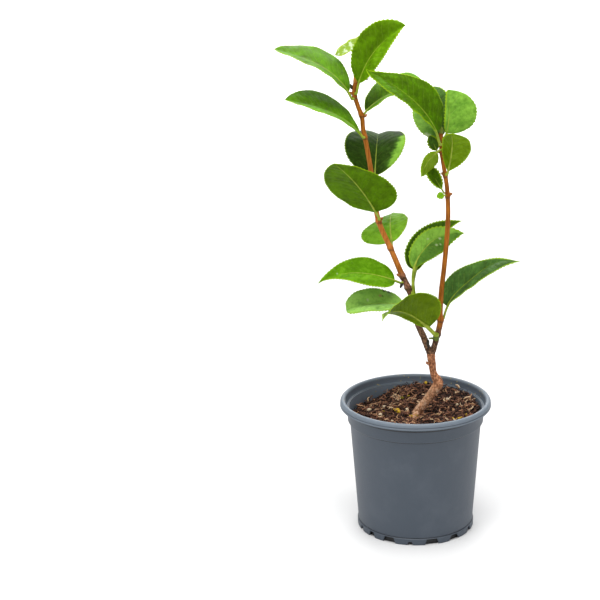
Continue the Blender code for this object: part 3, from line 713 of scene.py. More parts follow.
WARM_GREENS = ((0.0, (0.020, 0.048, 0.002)), (0.33, (0.050, 0.120, 0.0006)), (0.66, (0.090, 0.245, 0.001)),
               (1.0, (0.190, 0.420, 0.014)))
COOL_GREENS = ((0.0, (0.018, 0.045, 0.006)), (0.33, (0.047, 0.122, 0.024)), (0.66, (0.112, 0.245, 0.044)),
               (1.0, (0.270, 0.500, 0.088)))
UNDER_WARM = ((0.0, (0.040, 0.066, 0.001)), (0.33, (0.082, 0.138, 0.001)), (0.66, (0.140, 0.205, 0.003)),
              (1.0, (0.240, 0.330, 0.020)))
UNDER_COOL = ((0.0, (0.036, 0.054, 0.007)), (0.33, (0.076, 0.100, 0.011)), (0.66, (0.160, 0.200, 0.022)),
              (1.0, (0.260, 0.320, 0.055)))
MARGIN_GREEN = (0.260, 0.420, 0.008)
VEIN_GREEN = (0.240, 0.360, 0.045)
SCAR_TAN = (0.36, 0.24, 0.10)
DARK_MARK = (0.018, 0.034, 0.008)
# Pale spots on the leaves, and the painted sheen on left_leaf_02
PALE_AND_SHEEN_MARK = (0.42, 0.50, 0.26)
LIT_TONE = 0.95
VEIN_SPACING = 5.4


def leaf_veins(start):
    """Side veins and the fine net between them, from 0 to 1, and how far a point is from a side vein."""
    across = abs(start.stored("across_mm"))
    along = start.stored("along_mm")
    place = start.place()
    drift = (place.noise(60, 2) - 0.5) * 6.0
    phase = (along - across * 1.05 + across * across * 0.018 + drift) / VEIN_SPACING
    saw = phase.math("FRACT", phase)
    side = abs(saw - 0.5) * VEIN_SPACING
    veins = side.step(0.50, 0.0) * across.step(26.0, 3.0) * place.noise(160, 3).step(0.35, 0.6)
    flat = place.node("ShaderNodeCombineXYZ", None, {0: across, 1: along})
    net = flat.cells(0.75, "DISTANCE_TO_EDGE").step(0.16, 0.0)
    return veins, net, side / VEIN_SPACING


def leaf_face(start, warm, cool, tone_name, cool_name, vein_share):
    """The colour of one side, with its veins, margin and marks, and the values for its relief."""
    place = start.place()
    veins, net, quilt = leaf_veins(start)
    blotch = place.noise(110, 6, 0.68)
    # The stored tone paints light and shade into the green, and lit marks add a painted pool of light.
    tone = start.stored(tone_name) + (blotch - 0.5) + (place.noise(420, 5, 0.7) - 0.5) * 0.6
    tone = tone + start.stored("lit") * LIT_TONE
    colour = start.stored(cool_name).mix(tone.ramp(warm), tone.ramp(cool))
    colour = (start.stored(cool_name) * -1.0).mix(colour, tone.ramp(UNDER_WARM))
    colour = (veins * vein_share + net * 0.05).mix(colour, VEIN_GREEN)
    margin = start.stored("margin_mm").step(1.0, 0.3)
    colour = (margin * 0.8).mix(colour, MARGIN_GREEN)
    for mark, strength, mark_colour in (("pale", 0.8, PALE_AND_SHEEN_MARK), ("scar", 1.0, SCAR_TAN),
                                        ("dark", 0.85, DARK_MARK)):
        colour = (start.stored(mark) * strength).mix(colour, mark_colour)
    return colour, veins, net, quilt, blotch


def satin_leaf(start):
    """Upper side: satin, with sunk veins and soft quilting between them."""
    colour, veins, net, quilt, blotch = leaf_face(start, WARM_GREENS, COOL_GREENS, "tone", "cool", 0.20)
    relief = quilt * 0.5 - veins * 0.3 - net * 0.10 + blotch * 0.8
    return surface(colour, 0.22 + 0.34 * blotch + 0.10 * veins, relief, 0.8, 0.0008)


def matt_leaf(start):
    """Underside: olive, matt, with raised veins."""
    face = leaf_face(start, UNDER_WARM, UNDER_COOL, "tone_under", "cool_under", 0.22)
    colour, veins, net, quilt, blotch = face
    relief = veins * 0.6 + net * 0.2 - quilt * 0.8
    return surface(colour, 0.52 + 0.12 * blotch, relief, 0.6, 0.0005)


VARIEGATED_COLOURS = ((0.230, 0.360, 0.024), (0.560, 0.680, 0.420))
VARIEGATED_MARGIN = (0.330, 0.450, 0.024)


def variegated_leaf(start):
    """The curled young leaf: pale green with cream blotches."""
    blotch = start.place().noise(420, 3, 0.5).step(0.48, 0.60)
    margin = start.stored("margin_mm").step(0.9, 0.2)
    colour = margin.mix(blotch.mix(*VARIEGATED_COLOURS), VARIEGATED_MARGIN)
    return surface(colour, 0.35 + 0.1 * blotch, blotch, 0.3, 0.0004)


RIB_GREENS = ((0.190, 0.270, 0.006), (0.360, 0.440, 0.040))


def rib_green(start):
    """Stalks and midribs: yellow-green with paler streaks."""
    streaks = start.place().noise(260, 3, 0.55)
    return surface(streaks.step(0.3, 0.7).mix(*RIB_GREENS), 0.46 + 0.15 * streaks, streaks, 0.3, 0.0004)


BUD_TONES = ((0.0, (0.020, 0.012, 0.008)), (0.3, (0.075, 0.125, 0.010)), (0.5, (0.170, 0.210, 0.020)),
             (0.7, (0.210, 0.070, 0.012)), (1.0, (0.520, 0.190, 0.030)))


def bud_scales(start):
    """Buds: dark brown, green or red-brown by their stored tone, with fine streaks."""
    streaks = start.place().stretched(1, 1, 0.5).noise(700, 3, 0.6)
    tone = start.stored("tone") + (streaks - 0.5) * 0.3
    return surface(tone.ramp(BUD_TONES), 0.45 + 0.2 * streaks, streaks, 0.5, 0.0004)


NEAR_FLOOR = ((0.70, 0.70, 0.70), (0.73, 0.73, 0.73))
FAR_FLOOR = (0.95, 0.95, 0.95)


def pale_floor(start):
    """Plain pale ground, almost even, that gets lighter between 0.8 m and 2.4 m from the pot."""
    place = start.place()
    tone = place.noise(3, 2)
    colour = place.length().step(0.8, 2.4).mix(tone.mix(*NEAR_FLOOR), FAR_FLOOR)
    return {"Base Color": colour, "Roughness": 0.7 + 0.05 * tone}


# Pot

def arc(centre, radii, start, end, count):
    """Points of a rounding in a section, in degrees from the outward direction."""
    points = []
    for i in range(count + 1):
        a = math.radians(start + (end - start) * i / count)
        points.append((centre[0] + radii[0] * math.cos(a), centre[1] + radii[1] * math.sin(a)))
    return points


def inner_radius(height):
    """Radius of the inner wall below the collar."""
    share = (height - FOOT_RING_HEIGHT) / (COLLAR_FOOT - FOOT_RING_HEIGHT)
    return BODY_FOOT_RADIUS + (BODY_TOP_RADIUS - BODY_FOOT_RADIUS) * share - WALL


def near_edge(radius, height, offsets):
    """Points of the section at (outward, upward) offsets from an edge's radius and height."""
    return [(radius + outward, height + upward) for outward, upward in offsets]


def pot_section():
    """The pot's section: its floor, up inside over the ledge, over the rolled rim and down outside."""
    wall = COLLAR_RADIUS - WALL
    roll_foot = RIM_TOP - RIM_DEPTH
    half = (RIM_RADIUS - MOUTH_RADIUS) / 2
    middle = (RIM_RADIUS + MOUTH_RADIUS) / 2
    corner = FLOOR + FLOOR_CORNER
    points = [(0, FLOOR), (inner_radius(FLOOR) - FLOOR_CORNER, FLOOR), (inner_radius(corner), corner),
              (inner_radius(INNER_STEP), INNER_STEP), (wall, COLLAR_FOOT + 1), (wall, LEDGE_HEIGHT - 0.5)]
    points += arc((wall + 0.5, LEDGE_HEIGHT - 0.5), (0.5, 0.5), 165, 90, 4)
    points += near_edge(wall + LEDGE_WIDTH, LEDGE_HEIGHT, LEDGE_LIP)
    points.append((MOUTH_RADIUS - 0.2, roll_foot + 1.9))
    points += arc((middle, RIM_TOP - 2.6), (half, 2.6), 180, 90, 9)
    points += arc((middle, RIM_TOP - 2.8), (half - 0.1, 2.8), 90, 0, 10)
    points += near_edge(RIM_RADIUS, RIM_TOP, RIM_FLANK)
    points += arc((RIM_RADIUS - 0.6, roll_foot + 0.6), (0.6, 0.6), 0, -90, 5)
    points.append((RIM_RADIUS - 1.1, roll_foot + 0.2))
    points += near_edge(COLLAR_RADIUS, roll_foot, RIM_HOLLOW)
    points += arc((COLLAR_RADIUS - 0.9, COLLAR_FOOT + 1.4), (0.7, 0.9), 0, -80, 5)
    points += near_edge(BODY_TOP_RADIUS, COLLAR_FOOT, BODY_STEP)
    points += near_edge(BODY_FOOT_RADIUS, FOOT_RING_HEIGHT, FOOT_STEP)
    points += near_edge(FOOT_RING_RADIUS, FOOT_RING_HEIGHT, RING_TOP)
    return points + [(FOOT_RING_RADIUS, 0.5), (FOOT_RING_RADIUS - 0.5, 0)] + CHANNEL + [(0, 0)]


def notch_cutters():
    """Wedges that cut the notches through the foot ring, in front and again behind."""
    bm = bmesh.new()
    for turn in (0, 180):
        for degrees, width, height, top_share in NOTCHES:
            made = bmesh.ops.create_cube(bm, size=1.0)["verts"]
            foot_share = 1.0 - NOTCH_CUTTER_FOOT / height * (1 - top_share)
            for vert in made:
                is_top = vert.co.z > 0
                vert.co.x *= width * (top_share if is_top else foot_share) * MM
                vert.co.y *= NOTCH_CUTTER_DEPTH * MM
                vert.co.z = (height if is_top else NOTCH_CUTTER_FOOT) * MM
            angle = math.radians(degrees + turn - 90)
            reach = FOOT_RING_RADIUS * MM
            place = Matrix.Translation((reach * math.cos(angle), reach * math.sin(angle), 0))
            bmesh.ops.transform(bm, matrix=place @ Matrix.Rotation(angle - math.pi / 2, 4, "Z"), verts=made)
    return placed("notch_cutters", mesh_of(bm, "notch_cutters", smooth=False))


def make_pot():
    """The pot's section turned once round its axis, with the notches cut out of its foot."""
    bm = bmesh.new()
    verts = [bm.verts.new((r * MM, 0, z * MM)) for r, z in pot_section()]
    for a, b in zip(verts, verts[1:]):
        bm.edges.new((a, b))
    cutters = notch_cutters()
    mesh = applied(mesh_of(bm, "pot_section", smooth=False), [
        ("SCREW", {"steps": POT_STEPS, "render_steps": POT_STEPS, "use_merge_vertices": True,
                   "merge_threshold": 0.01 * MM}),
        ("BOOLEAN", {"operation": "DIFFERENCE", "object": cutters}),
    ])
    bpy.data.objects.remove(cutters)
    mesh.materials.clear()
    mesh.shade_smooth()
    mesh.set_sharp_from_angle(angle=math.radians(SHARP_ANGLE))
    inner = []
    for vert in mesh.vertices:
        faces_in = vert.normal.xy.dot(vert.co.xy.normalized()) < -0.3
        inner.append(1.0 if faces_in and vert.co.z / MM > FOOT_RING_HEIGHT + 1 else 0.0)
    store(mesh, "inner", inner)
    show("pot_shell", mesh, [finish("moulded_plastic", {"IOR": 1.46}, moulded_plastic)], "pot")


# Soil

def lump(x, y, layer, size, height):
    """Height of smooth lumps of one size at a place on the soil."""
    return noise.noise(Vector((x, y, layer)) / size) * height


def from_trunk(x, y):
    return math.hypot(x - TRUNK[0][0], y - TRUNK[0][1])


def soil_height(x, y):
    """Height of the soil's surface: level round the trunk, banked to the back, hollow at the left."""
    dip_x, dip_y, reach, depth = SOIL_DIP
    dip = depth * math.exp(-((x - dip_x) ** 2 + (y - dip_y) ** 2) / reach ** 2)
    sloped = SOIL_LEVEL + SOIL_SLOPE_RIGHT * x + SOIL_SLOPE_BACK * max(y, SOIL_LEVEL_FRONT) - dip
    sloped += lump(x, y, *SOIL_LUMPS)
    share = min(1.0, max(0.0, (from_trunk(x, y) - TRUNK_PLACE) / TRUNK_PLACE_EDGE))
    height = share * sloped + (1 - share) * (TRUNK[0][2] - CLEARANCE)
    return max(height, SOIL_EDGE) if math.hypot(x, y) > SOIL_RADIUS - SOIL_RIM else height


def make_soil_bed():
    """The bed that the crumbs lie on: rings of fine lumps over the solid's own slope."""
    bm = bmesh.new()
    rings = []
    turns = [2 * math.pi * step / SOIL_STEPS for step in range(SOIL_STEPS)]
    for i in range(1, SOIL_RINGS + 1):
        radius = SOIL_RADIUS * i / SOIL_RINGS
        ring = []
        for a in turns:
            x, y = radius * math.cos(a), radius * math.sin(a)
            z = soil_height(x, y) - BED_DROP + (lump(x, y, *BED_LUMPS) + lump(x, y, *BED_GRIT))
            ring.append(bm.verts.new((x * MM, y * MM, z * MM)))
        rings.append(ring)
    foot_radius = inner_radius(INNER_STEP) - CLEARANCE
    for radius, height in ((SOIL_RADIUS, SOIL_EDGE - 0.9), (foot_radius, INNER_STEP)):
        circle = [(radius * math.cos(a) * MM, radius * math.sin(a) * MM, height * MM) for a in turns]
        rings.append([bm.verts.new(spot) for spot in circle])
    middle = bm.verts.new((0, 0, (soil_height(0, 0) - 0.4) * MM))
    for j in range(SOIL_STEPS):
        k = (j + 1) % SOIL_STEPS
        bm.faces.new((middle, rings[0][j], rings[0][k]))
        for inner, outer in zip(rings, rings[1:]):
            bm.faces.new((inner[j], outer[j], outer[k], inner[k]))
    bm.normal_update()
    show("soil_bed", mesh_of(bm, "soil_bed"), [finish("peat", {"IOR": 1.35}, peat)], "soil")


def soil_spot(rng):
    """A random point on the soil, evenly spread and clear of the trunk."""
    while True:
        x, y = rng.uniform(-CRUMB_REACH, CRUMB_REACH), rng.uniform(-CRUMB_REACH, CRUMB_REACH)
        if math.hypot(x, y) < CRUMB_REACH and from_trunk(x, y) > TRUNK_GAP:
            return x, y


def ball(detail):
    """Corners and faces of a small ball that grains are bent from."""
    bm = bmesh.new()
    bmesh.ops.create_icosphere(bm, subdivisions=detail, radius=1.0)
    bm.verts.index_update()
    corners = [vert.co.copy() for vert in bm.verts]
    faces = [[vert.index for vert in face.verts] for face in bm.faces]
    bm.free()
    return corners, faces


def add_grain(heap, rng, shape, centre, size, flatness, tone):
    """An angular grain: a ball with its corners pushed about, then squashed and turned."""
    corners, faces = shape
    axis = Vector((rng.gauss(0, 1), rng.gauss(0, 1), rng.gauss(0, 1)))
    stretch = Matrix.Diagonal((rng.uniform(0.7, 1.4), rng.uniform(0.6, 1.1), flatness)) * size
    turned = Matrix.Rotation(rng.uniform(0, 2 * math.pi), 3, axis) @ stretch
    heap.add([turned @ corner * rng.uniform(0.65, 1.25) + centre for corner in corners], faces, tone=tone)


def add_rod(heap, route, tone):
    """A bent rod with flat sides and closed ends along (point, radius) rows."""
    points = []
    for index, (middle, radius) in enumerate(route):
        way = route[min(index + 1, len(route) - 1)][0] - route[max(index - 1, 0)][0]
        across = unit(way.cross(Vector((0.13, 0.21, 1.0))))
        over = unit(way).cross(across)
        for side in range(ROD_SIDES):
            a = 2 * math.pi * side / ROD_SIDES
            points.append(middle + (across * math.cos(a) + over * math.sin(a)) * radius)
    faces = [list(range(ROD_SIDES)), list(reversed(range(len(points) - ROD_SIDES, len(points))))]
    for first in range(0, len(points) - ROD_SIDES, ROD_SIDES):
        for side in range(ROD_SIDES):
            after = (side + 1) % ROD_SIDES
            faces.append([first + after, first + side, first + side + ROD_SIDES, first + after + ROD_SIDES])
    heap.add(points, faces, tone=tone)


def make_crumbs():
    """Crumbs of peat and chips of bark over the whole bed."""
    rng = random.Random(11)
    heap = Heap()
    for count, detail, lifts, sizes, flatness, tones in CRUMB_KINDS:
        shape = ball(detail)
        for _ in range(count):
            x, y = soil_spot(rng)
            centre = Vector((x, y, soil_height(x, y) + rng.uniform(*lifts)))
            add_grain(heap, rng, shape, centre, *(rng.uniform(*span) for span in (sizes, flatness, tones)))
    show("bark_crumbs", heap.mesh("bark_crumbs", smooth=False), [CRUMBS])


def make_fibres():
    """Coarse fibres and twigs that lie tangled on the soil in low heaps, lighter where they lie higher.
    Every seventh stands up, every fourth is thicker and every sixth is lighter than its neighbours."""
    rng = random.Random(23)
    heap = Heap()
    left_tone, right_tone, spread = FIBRE_TONES
    for index in range(FIBRE_COUNT):
        x, y = soil_spot(rng)
        length = rng.uniform(*FIBRE_LENGTHS)
        heading = rng.uniform(0, 2 * math.pi)
        curl = rng.uniform(*FIBRE_CURLS)
        climb = rng.uniform(*(LYING_CLIMBS if index % 7 else STANDING_CLIMBS))
        thick = rng.uniform(*(THIN_RADII if index % 4 else THICK_RADII))
        middle_tone = right_tone if x > 0 else left_tone
        tone = rng.gauss(middle_tone, spread) if index % 6 else rng.uniform(*LIGHT_TONES)
        base = 1.2 + lump(x, y, *FIBRE_HEAPS) + rng.uniform(-0.8, 1.0)
        tone = min(1.0, max(0.02, tone + HEAP_TONE * (base - HEAP_LEVEL)))
        route = []
        for step in range(FIBRE_STEPS + 1):
            share = step / FIBRE_STEPS
            lift = base + climb * length * share * (1 - 0.45 * share)
            z = soil_height(x, y) + lift + rng.uniform(-0.2, 0.2)
            route.append((Vector((x, y, z)), thick * (1 - 0.5 * share)))
            heading += curl + rng.uniform(-0.3, 0.3)
            x += math.cos(heading) * length / FIBRE_STEPS
            y += math.sin(heading) * length / FIBRE_STEPS
        if max(row[0].xy.length for row in route) < FIBRE_REACH:
            add_rod(heap, route, tone)
    show("soil_fibres", heap.mesh("soil_fibres"), [CRUMBS])


def make_loose_bits():
    """Pebbles, and feed grains in small clusters, on the soil."""
    rng = random.Random(5)
    heap = Heap()
    shape = ball(3)
    for x, y, size in PEBBLES:
        add_grain(heap, rng, shape, Vector((x, y, soil_height(x, y) + PEBBLE_LIFT)), size, 0.7, 0.5)
    show("pebbles", heap.mesh("pebbles"), [finish("pebbles", {"IOR": 1.45}, pebble_finish)])
    heap = Heap()
    shape = ball(2)
    for x, y, size, yellow in FEED_GRAINS:
        for _ in range(FEED_CLUSTER):
            spot = Vector((x + rng.uniform(-1, 1), y + rng.uniform(-1, 1), soil_height(x, y) + FEED_LIFT))
            add_grain(heap, rng, shape, spot, size * rng.uniform(0.4, 0.75), 0.8, yellow)
    show("feed_grains", heap.mesh("feed_grains", smooth=False),
         [finish("feed_grains", {"IOR": 1.4}, feed_finish)])


# Trunk and stems

def flaky(point, size):
    """Height of flaky bark over a point in millimetres, about -1 to 1, and how deep in a cleft it is."""
    spot = point / BARK_WARP_SIZE
    warp = Vector((noise.noise(spot), noise.noise(spot + Vector((7, 3, 1))), 0)) * BARK_WARP
    place = Vector((point.x, point.y, point.z * 0.5)) + warp
    distances, centres = noise.voronoi(place / size)
    cleft = 1 - ease(distances[1] - distances[0], *BARK_CLEFT)
    plate = noise.noise(centres[0] * 7.3)
    ridges = 1 - 2.2 * abs(noise.noise(place / BARK_RIDGE_SIZE))
    return 0.6 * plate + 0.3 * ridges - 0.7 * cleft, cleft


def limb_mesh(name, routes, resolution, bark):
    """Tubes along routes as one mesh; bark(point) gives its relief, its clefts and the relief's height."""
    mesh = applied(tubes(name, routes, resolution))
    mesh.materials.clear()
    bm = bmesh.new()
    bm.from_mesh(mesh)
    bmesh.ops.remove_doubles(bm, verts=bm.verts, dist=0.01 * MM)
    bm.normal_update()
    relief = bm.verts.layers.float.new("relief")
    depth = bm.verts.layers.float.new("cleft")
    for vert in bm.verts:
        height, cleft, strength = bark(vert.co / MM)
        vert.co += vert.normal * height * strength * MM
        vert[relief] = 0.5 + 0.5 * height
        vert[depth] = cleft
    return bm


def make_trunk():
    """The trunk with its roots' flare, its flaky relief and the broken spur."""
    routes = [smooth_route(points, TRUNK_STEP) for points in (TRUNK, SPUR, *ROOTS)]
    size, relief = TRUNK_FLAKES
    bm = limb_mesh("old_wood", routes, TRUNK_RESOLUTION, lambda point: (*flaky(point, size), relief))
    lower = bm.verts.layers.float.new("lower")
    for vert in bm.verts:
        vert[lower] = ease(vert.co.z / MM, *TRUNK_LIGHT)
    material = finish("old_bark", {"IOR": 1.35}, old_bark)
    show("old_wood", mesh_of(bm, "old_wood"), [material], "trunk")


def swollen(route, nodes):
    """The route with its radius swollen at each node's height."""
    rows = []
    for x, y, z, radius in route:
        swell = sum(math.exp(-((z - node) / NODE_LENGTH) ** 2) for node in nodes)
        rows.append((x, y, z, radius * (1 + NODE_SWELL * min(1.0, swell))))
    return rows


def make_stem(side):
    """One stem from inside the fork to its tip, with swollen nodes, scars and bark relief."""
    nodes = STEM_NODES[side]
    rough_top = STEM_ROUGH_TOP[side]
    pale_foot, pale_full, pale_fade, pale_top = STEM_PALE[side]
    size, relief = STEM_FLAKES
    stem = STEMS[side]
    start = (*FORK, stem[0][3] + 0.2)
    route = swollen(smooth_route([start] + stem, LIMB_STEP), nodes)

    def roughness(z):
        return 1 - (1 - SMOOTH_RELIEF) * ease(z, rough_top - ROUGH_FADE, rough_top + ROUGH_FADE)

    def bark(point):
        return (*flaky(point, size), relief * roughness(point.z))

    bm = limb_mesh(side + "_shoot", [route], STEM_RESOLUTION, bark)
    names = ("rough", "scar", "tip", "pale")
    rough, scar, tip, pale = [bm.verts.layers.float.new(name) for name in names]
    top = stem[-1][2]
    for vert in bm.verts:
        z = vert.co.z / MM + 0.4 * noise.noise(vert.co / MM)
        vert[rough] = (roughness(z) - SMOOTH_RELIEF) / (1 - SMOOTH_RELIEF)
        vert[scar] = max(math.exp(-((z - node + SCAR_DROP) / SCAR_WIDTH) ** 2) for node in nodes)
        vert[tip] = ease(z, top - STEM_TIP_COLOUR[0], top - STEM_TIP_COLOUR[1])
        vert[pale] = ease(z, pale_foot, pale_full) * ease(z, pale_top, pale_fade)
    show(side + "_shoot", mesh_of(bm, side + "_shoot"), [SHOOT_BARK], side + "_stem")


# Leaves

def stem_point(stem, height):
    """The stem's middle, its radius and its direction at a height."""
    rows = [Vector(row) for row in STEMS[stem]]
    for low, high in zip(rows, rows[1:]):
        if height <= high.z:
            row = low.lerp(high, (height - low.z) / (high.z - low.z))
            return row.xyz, row.w, unit((high - low).xyz)
    raise ValueError(f"{stem} stem ends below {height} mm")


def leaf_frame(leaf):
    """The stalk's start, the line to the tip, the directions of the upper and the right side, and the
    way out of the stem."""
    middle, radius, stem_way = stem_point(leaf.stem, leaf.height)
    chord = Vector(leaf.tip)
    along = unit(chord)
    up = Vector(leaf.face)
    up = unit(up - along * up.dot(along))
    side = along.cross(up)
    start_way = unit(chord + 2 * leaf.square * (1 + leaf.skew) * (leaf.arch * up + leaf.bow * side))
    outward = Vector((*leaf.off, 0.0)) if leaf.off else start_way
    outward = unit(outward - stem_way * outward.dot(stem_way))
    lean = math.sqrt(max(0.0, 1 - start_way.dot(outward) ** 2))
    start = middle + outward * (radius + CLEARANCE + STALK_REACH * lean)
    return start, middle + chord - start, up, side, outward


def blade_half_width(leaf, share, across):
    """Half-width at a share of the blade's length from its base, left where across is negative."""
    if share <= 0:
        return STALK_HALF_WIDTH * 0.6
    half = 0 if across < 0 else 1
    widest = leaf.widest[half]
    early = leaf.full * widest
    late = leaf.full * (1 - widest)
    peak = widest ** early * (1 - widest) ** late
    width = leaf.width / 2 * leaf.sides[half] * LOOKS[leaf.name].trim[half]
    width *= share ** early * max(0.0, 1 - share) ** late / peak
    if share > widest:
        width *= max(0.0, 1 - ((share - widest) / (1 - widest)) ** POINT_ONSET) ** leaf.point[half]
    return max(width, TIP_HALF_WIDTH)


def leaf_bulge(leaf, along):
    """How far the leaf's middle is bent at a share of its length, and how fast that changes."""
    u = 2 * along - 1
    round_part = 1 - abs(u) ** leaf.square
    skew_part = 1 - leaf.skew * u
    change = -leaf.square * math.copysign(abs(u) ** (leaf.square - 1), u) * skew_part
    return round_part * skew_part, 2 * (change - leaf.skew * round_part)


def leaf_line(leaf, axes, along):
    """The leaf's middle at a share of its length, with its own, its side's and its upward way there."""
    start, chord, up, side = axes[:4]
    bulge, slope = leaf_bulge(leaf, along)
    middle = start + chord * along + side * leaf.bow * bulge
    middle += up * (leaf.arch * bulge - leaf.hook * along ** HOOK_POWER)
    middle += Vector(LOOKS[leaf.name].droop) * along ** 3
    hook_slope = HOOK_POWER * leaf.hook * along ** (HOOK_POWER - 1)
    way = unit(chord + up * (leaf.arch * slope - hook_slope) + side * leaf.bow * slope)
    raised = unit(up - way * up.dot(way))
    return middle, way, way.cross(raised), raised


def half_section(fold):
    """Running (flat, lift) from midrib to margin of a half blade of width 1, bent by its fold."""
    rows = [(0.0, 0.0)]
    for i in range(SECTION_STEPS):
        share = (i + 0.5) / SECTION_STEPS
        angle = math.radians(fold) * (1 - (1 - OUTER_FOLD) * ease(share, 0.3, 0.7))
        flat, lift = rows[-1]
        rows.append((flat + math.cos(angle) / SECTION_STEPS, lift + math.sin(angle) / SECTION_STEPS))
    return rows


def tooth(row, share):
    """How far the margin stands out at a row: slow rises and quick falls, none at the two ends."""
    depth = TOOTH_DEPTH * (row % TOOTH_ROWS) / (TOOTH_ROWS - 1)
    return depth * ease(share, 0.06, 0.16) * ease(share, 1.0, 0.93)


def blade_columns():
    """Signed shares of the half-width that the columns stand at, closer together at the margins."""
    shares = []
    for column in range(BLADE_COLUMNS + 1):
        at = 2 * column / BLADE_COLUMNS - 1
        shares.append(math.copysign(1 - (1 - abs(at)) ** COLUMN_CROWDING, at))
    return shares


def mark_values(look, share, length, across, half, point):
    """How strongly each kind of mark covers a point, from 0 to 1."""
    values = {"pale": 0.0, "scar": 0.0, "dark": 0.0, "lit": 0.0}
    for mark_along, mark_across, radius, kind in look.marks:
        gap = math.hypot((share - mark_along) * length, (across - mark_across) * half)
        gap += 0.22 * radius * noise.noise(point / 1.3)
        values[kind] = max(values[kind], ease(gap, radius, radius * 0.55))
    return values


def along_section(section, distance):
    """The half section's (flat, lift) at a share of the way from midrib to margin."""
    low = min(SECTION_STEPS - 1, int(distance * SECTION_STEPS))
    part = distance * SECTION_STEPS - low
    return [before + (after - before) * part for before, after in zip(section[low], section[low + 1])]


def blade_grid(leaf):
    """Points of a toothed and rippled blade, in rows from its base to its tip, and their stored values."""
    look = LOOKS[leaf.name]
    axes = leaf_frame(leaf)
    reach = axes[1].length
    stalk_share = leaf.stalk / reach
    length = reach - leaf.stalk
    rows = max(5, round(length / TOOTH_PITCH)) * TOOTH_ROWS
    columns = blade_columns()
    section = half_section(leaf.fold)
    seed = Vector((leaf.height, leaf.width, leaf.arch)) * 0.37
    values = {}
    points = []
    for row in range(rows + 1):
        share = row / rows
        middle, way, sideways, raised = leaf_line(leaf, axes, stalk_share + (1 - stalk_share) * share)
        halves = [blade_half_width(leaf, share, across) for across in (-1, 1)]
        stand = tooth(row, share)
        fade = look.fade * (0.5 - share)
        for across in columns:
            right = ease(across, -0.03, 0.03)
            half = halves[0] if across < 0 else halves[1]
            distance = abs(across)
            flat, lift = along_section(section, distance)
            out = half * flat + stand * ease(distance, TOOTH_ZONE, 1.0) * min(1.0, half / TOOTHED_HALF)
            point = middle + sideways * math.copysign(out, across) + raised * lift * half
            ripple = noise.noise(point / RIPPLE_SIZE + seed) * look.wave * RIPPLE_HEIGHT
            point += raised * ripple * min(1.0, half / RIPPLED_HALF) * distance ** 1.5
            if look.notch:
                lateral = (out / NOTCH_LOBE) ** 2
                point += way * look.notch * ease(share, 0.7, 1.0) * lateral * math.exp(1 - lateral)
            points.append(point)
            stored = {"across_mm": math.copysign(distance * half, across), "along_mm": share * length,
                      "margin_mm": (1 - distance) * half,
                      **mark_values(look, share, length, across, half, point)}
            # Each half's tone paints its light and shade along with its own green.
            for ending, (left_tone, right_tone, cool) in (("", look.upper), ("_under", look.under)):
                stored["tone" + ending] = left_tone + (right_tone - left_tone) * right + fade
                stored["cool" + ending] = cool
            for name, value in stored.items():
                values.setdefault(name, []).append(value)
    return points, values


def make_blade(leaf):
    """A blade as a fine two-sided grid on the leaf's own surface."""
    points, values = blade_grid(leaf)
    wide = BLADE_COLUMNS + 1
    faces = [[i + j, i + j + 1, i + wide + j + 1, i + wide + j]
             for i in range(0, len(points) - wide, wide) for j in range(BLADE_COLUMNS)]
    heap = Heap()
    heap.add(points, faces, **values)
    mesh = applied(heap.mesh(leaf.name + "_blade"), [
        ("SOLIDIFY", {"thickness": BLADE_THICKNESS * MM, "offset": 0.0, "material_offset": 1}),
    ])
    mesh.materials.clear()
    upper = LEAF_GLOSSY if LOOKS[leaf.name].glossy else LEAF_UPPER
    upper = VARIEGATED if leaf.name == VARIEGATED_LEAF else upper
    show(leaf.name + "_blade", mesh, [upper, LEAF_UNDER], leaf.name)


def stalk_route(leaf):
    """The stalk and midrib as rows of (x, y, z, radius), from inside the stem almost to the tip."""
    axes = leaf_frame(leaf)
    start, chord, outward = axes[0], axes[1], axes[4]
    stalk_share = leaf.stalk / chord.length
    slim = min(1.0, 0.55 + leaf.width / 60)
    thick = STALK_RADIUS * slim * LOOKS[leaf.name].stalk
    root = start - outward * (CLEARANCE + STALK_REACH)
    rows = [(*root, thick * 1.3)]
    count = max(10, round(chord.length / STALK_STEP))
    for i in range(count + 1):
        along = RIB_END * i / count
        middle, _, _, raised = leaf_line(leaf, axes, along)
        blade = max(0.0, (along - stalk_share) / (1 - stalk_share))
        rib = STALK_RADIUS * slim * RIB_SHARE * (1 - RIB_TAPER * blade)
        radius = thick + (rib - thick) * ease(blade, -0.02, 0.16)
        sunk = RIB_SUNK * radius * ease(blade, 0.0, 0.1)
        rows.append((*(middle - raised * sunk), max(radius, RIB_LEAST)))
    return rows


def make_stalks():
    routes = [stalk_route(row) for row in LEAVES]
    show("leaf_stalks", tubes("leaf_stalks", routes, STALK_RESOLUTION),
         [finish("rib_green", {"IOR": 1.4}, rib_green)])


# Buds in the angles of leaves: stem, height, way out, length, radius and tone
BUDS = [("left", 349, (-0.9, -0.5, 0.9), 3.6, 1.2, 0.75), ("left", 331, (0.8, 0.2, 0.9), 3.2, 1.2, 0.8),
        ("left", 316, (-0.6, -0.6, 0.9), 3.2, 1.2, 0.7), ("left", 282, (0.5, -0.4, 0.9), 2.8, 1.1, 0.7),
        ("left", 252, (0.6, -0.5, 0.8), 3.0, 1.2, 0.8), ("left", 209, (-0.8, -0.4, 0.6), 3.4, 1.4, 0.8),
        ("left", 190, (0.9, -0.3, 0.9), 4.0, 1.4, 0.3), ("right", 322, (0.05, -0.2, 1.0), 5.5, 1.9, 0.45),
        ("right", 291, (-0.6, -0.5, 0.8), 3.0, 1.2, 0.7), ("right", 275, (0.9, -0.3, 0.5), 2.6, 1.3, 0.8),
        ("right", 176, (-0.7, -0.4, 0.8), 3.2, 1.3, 0.7)]

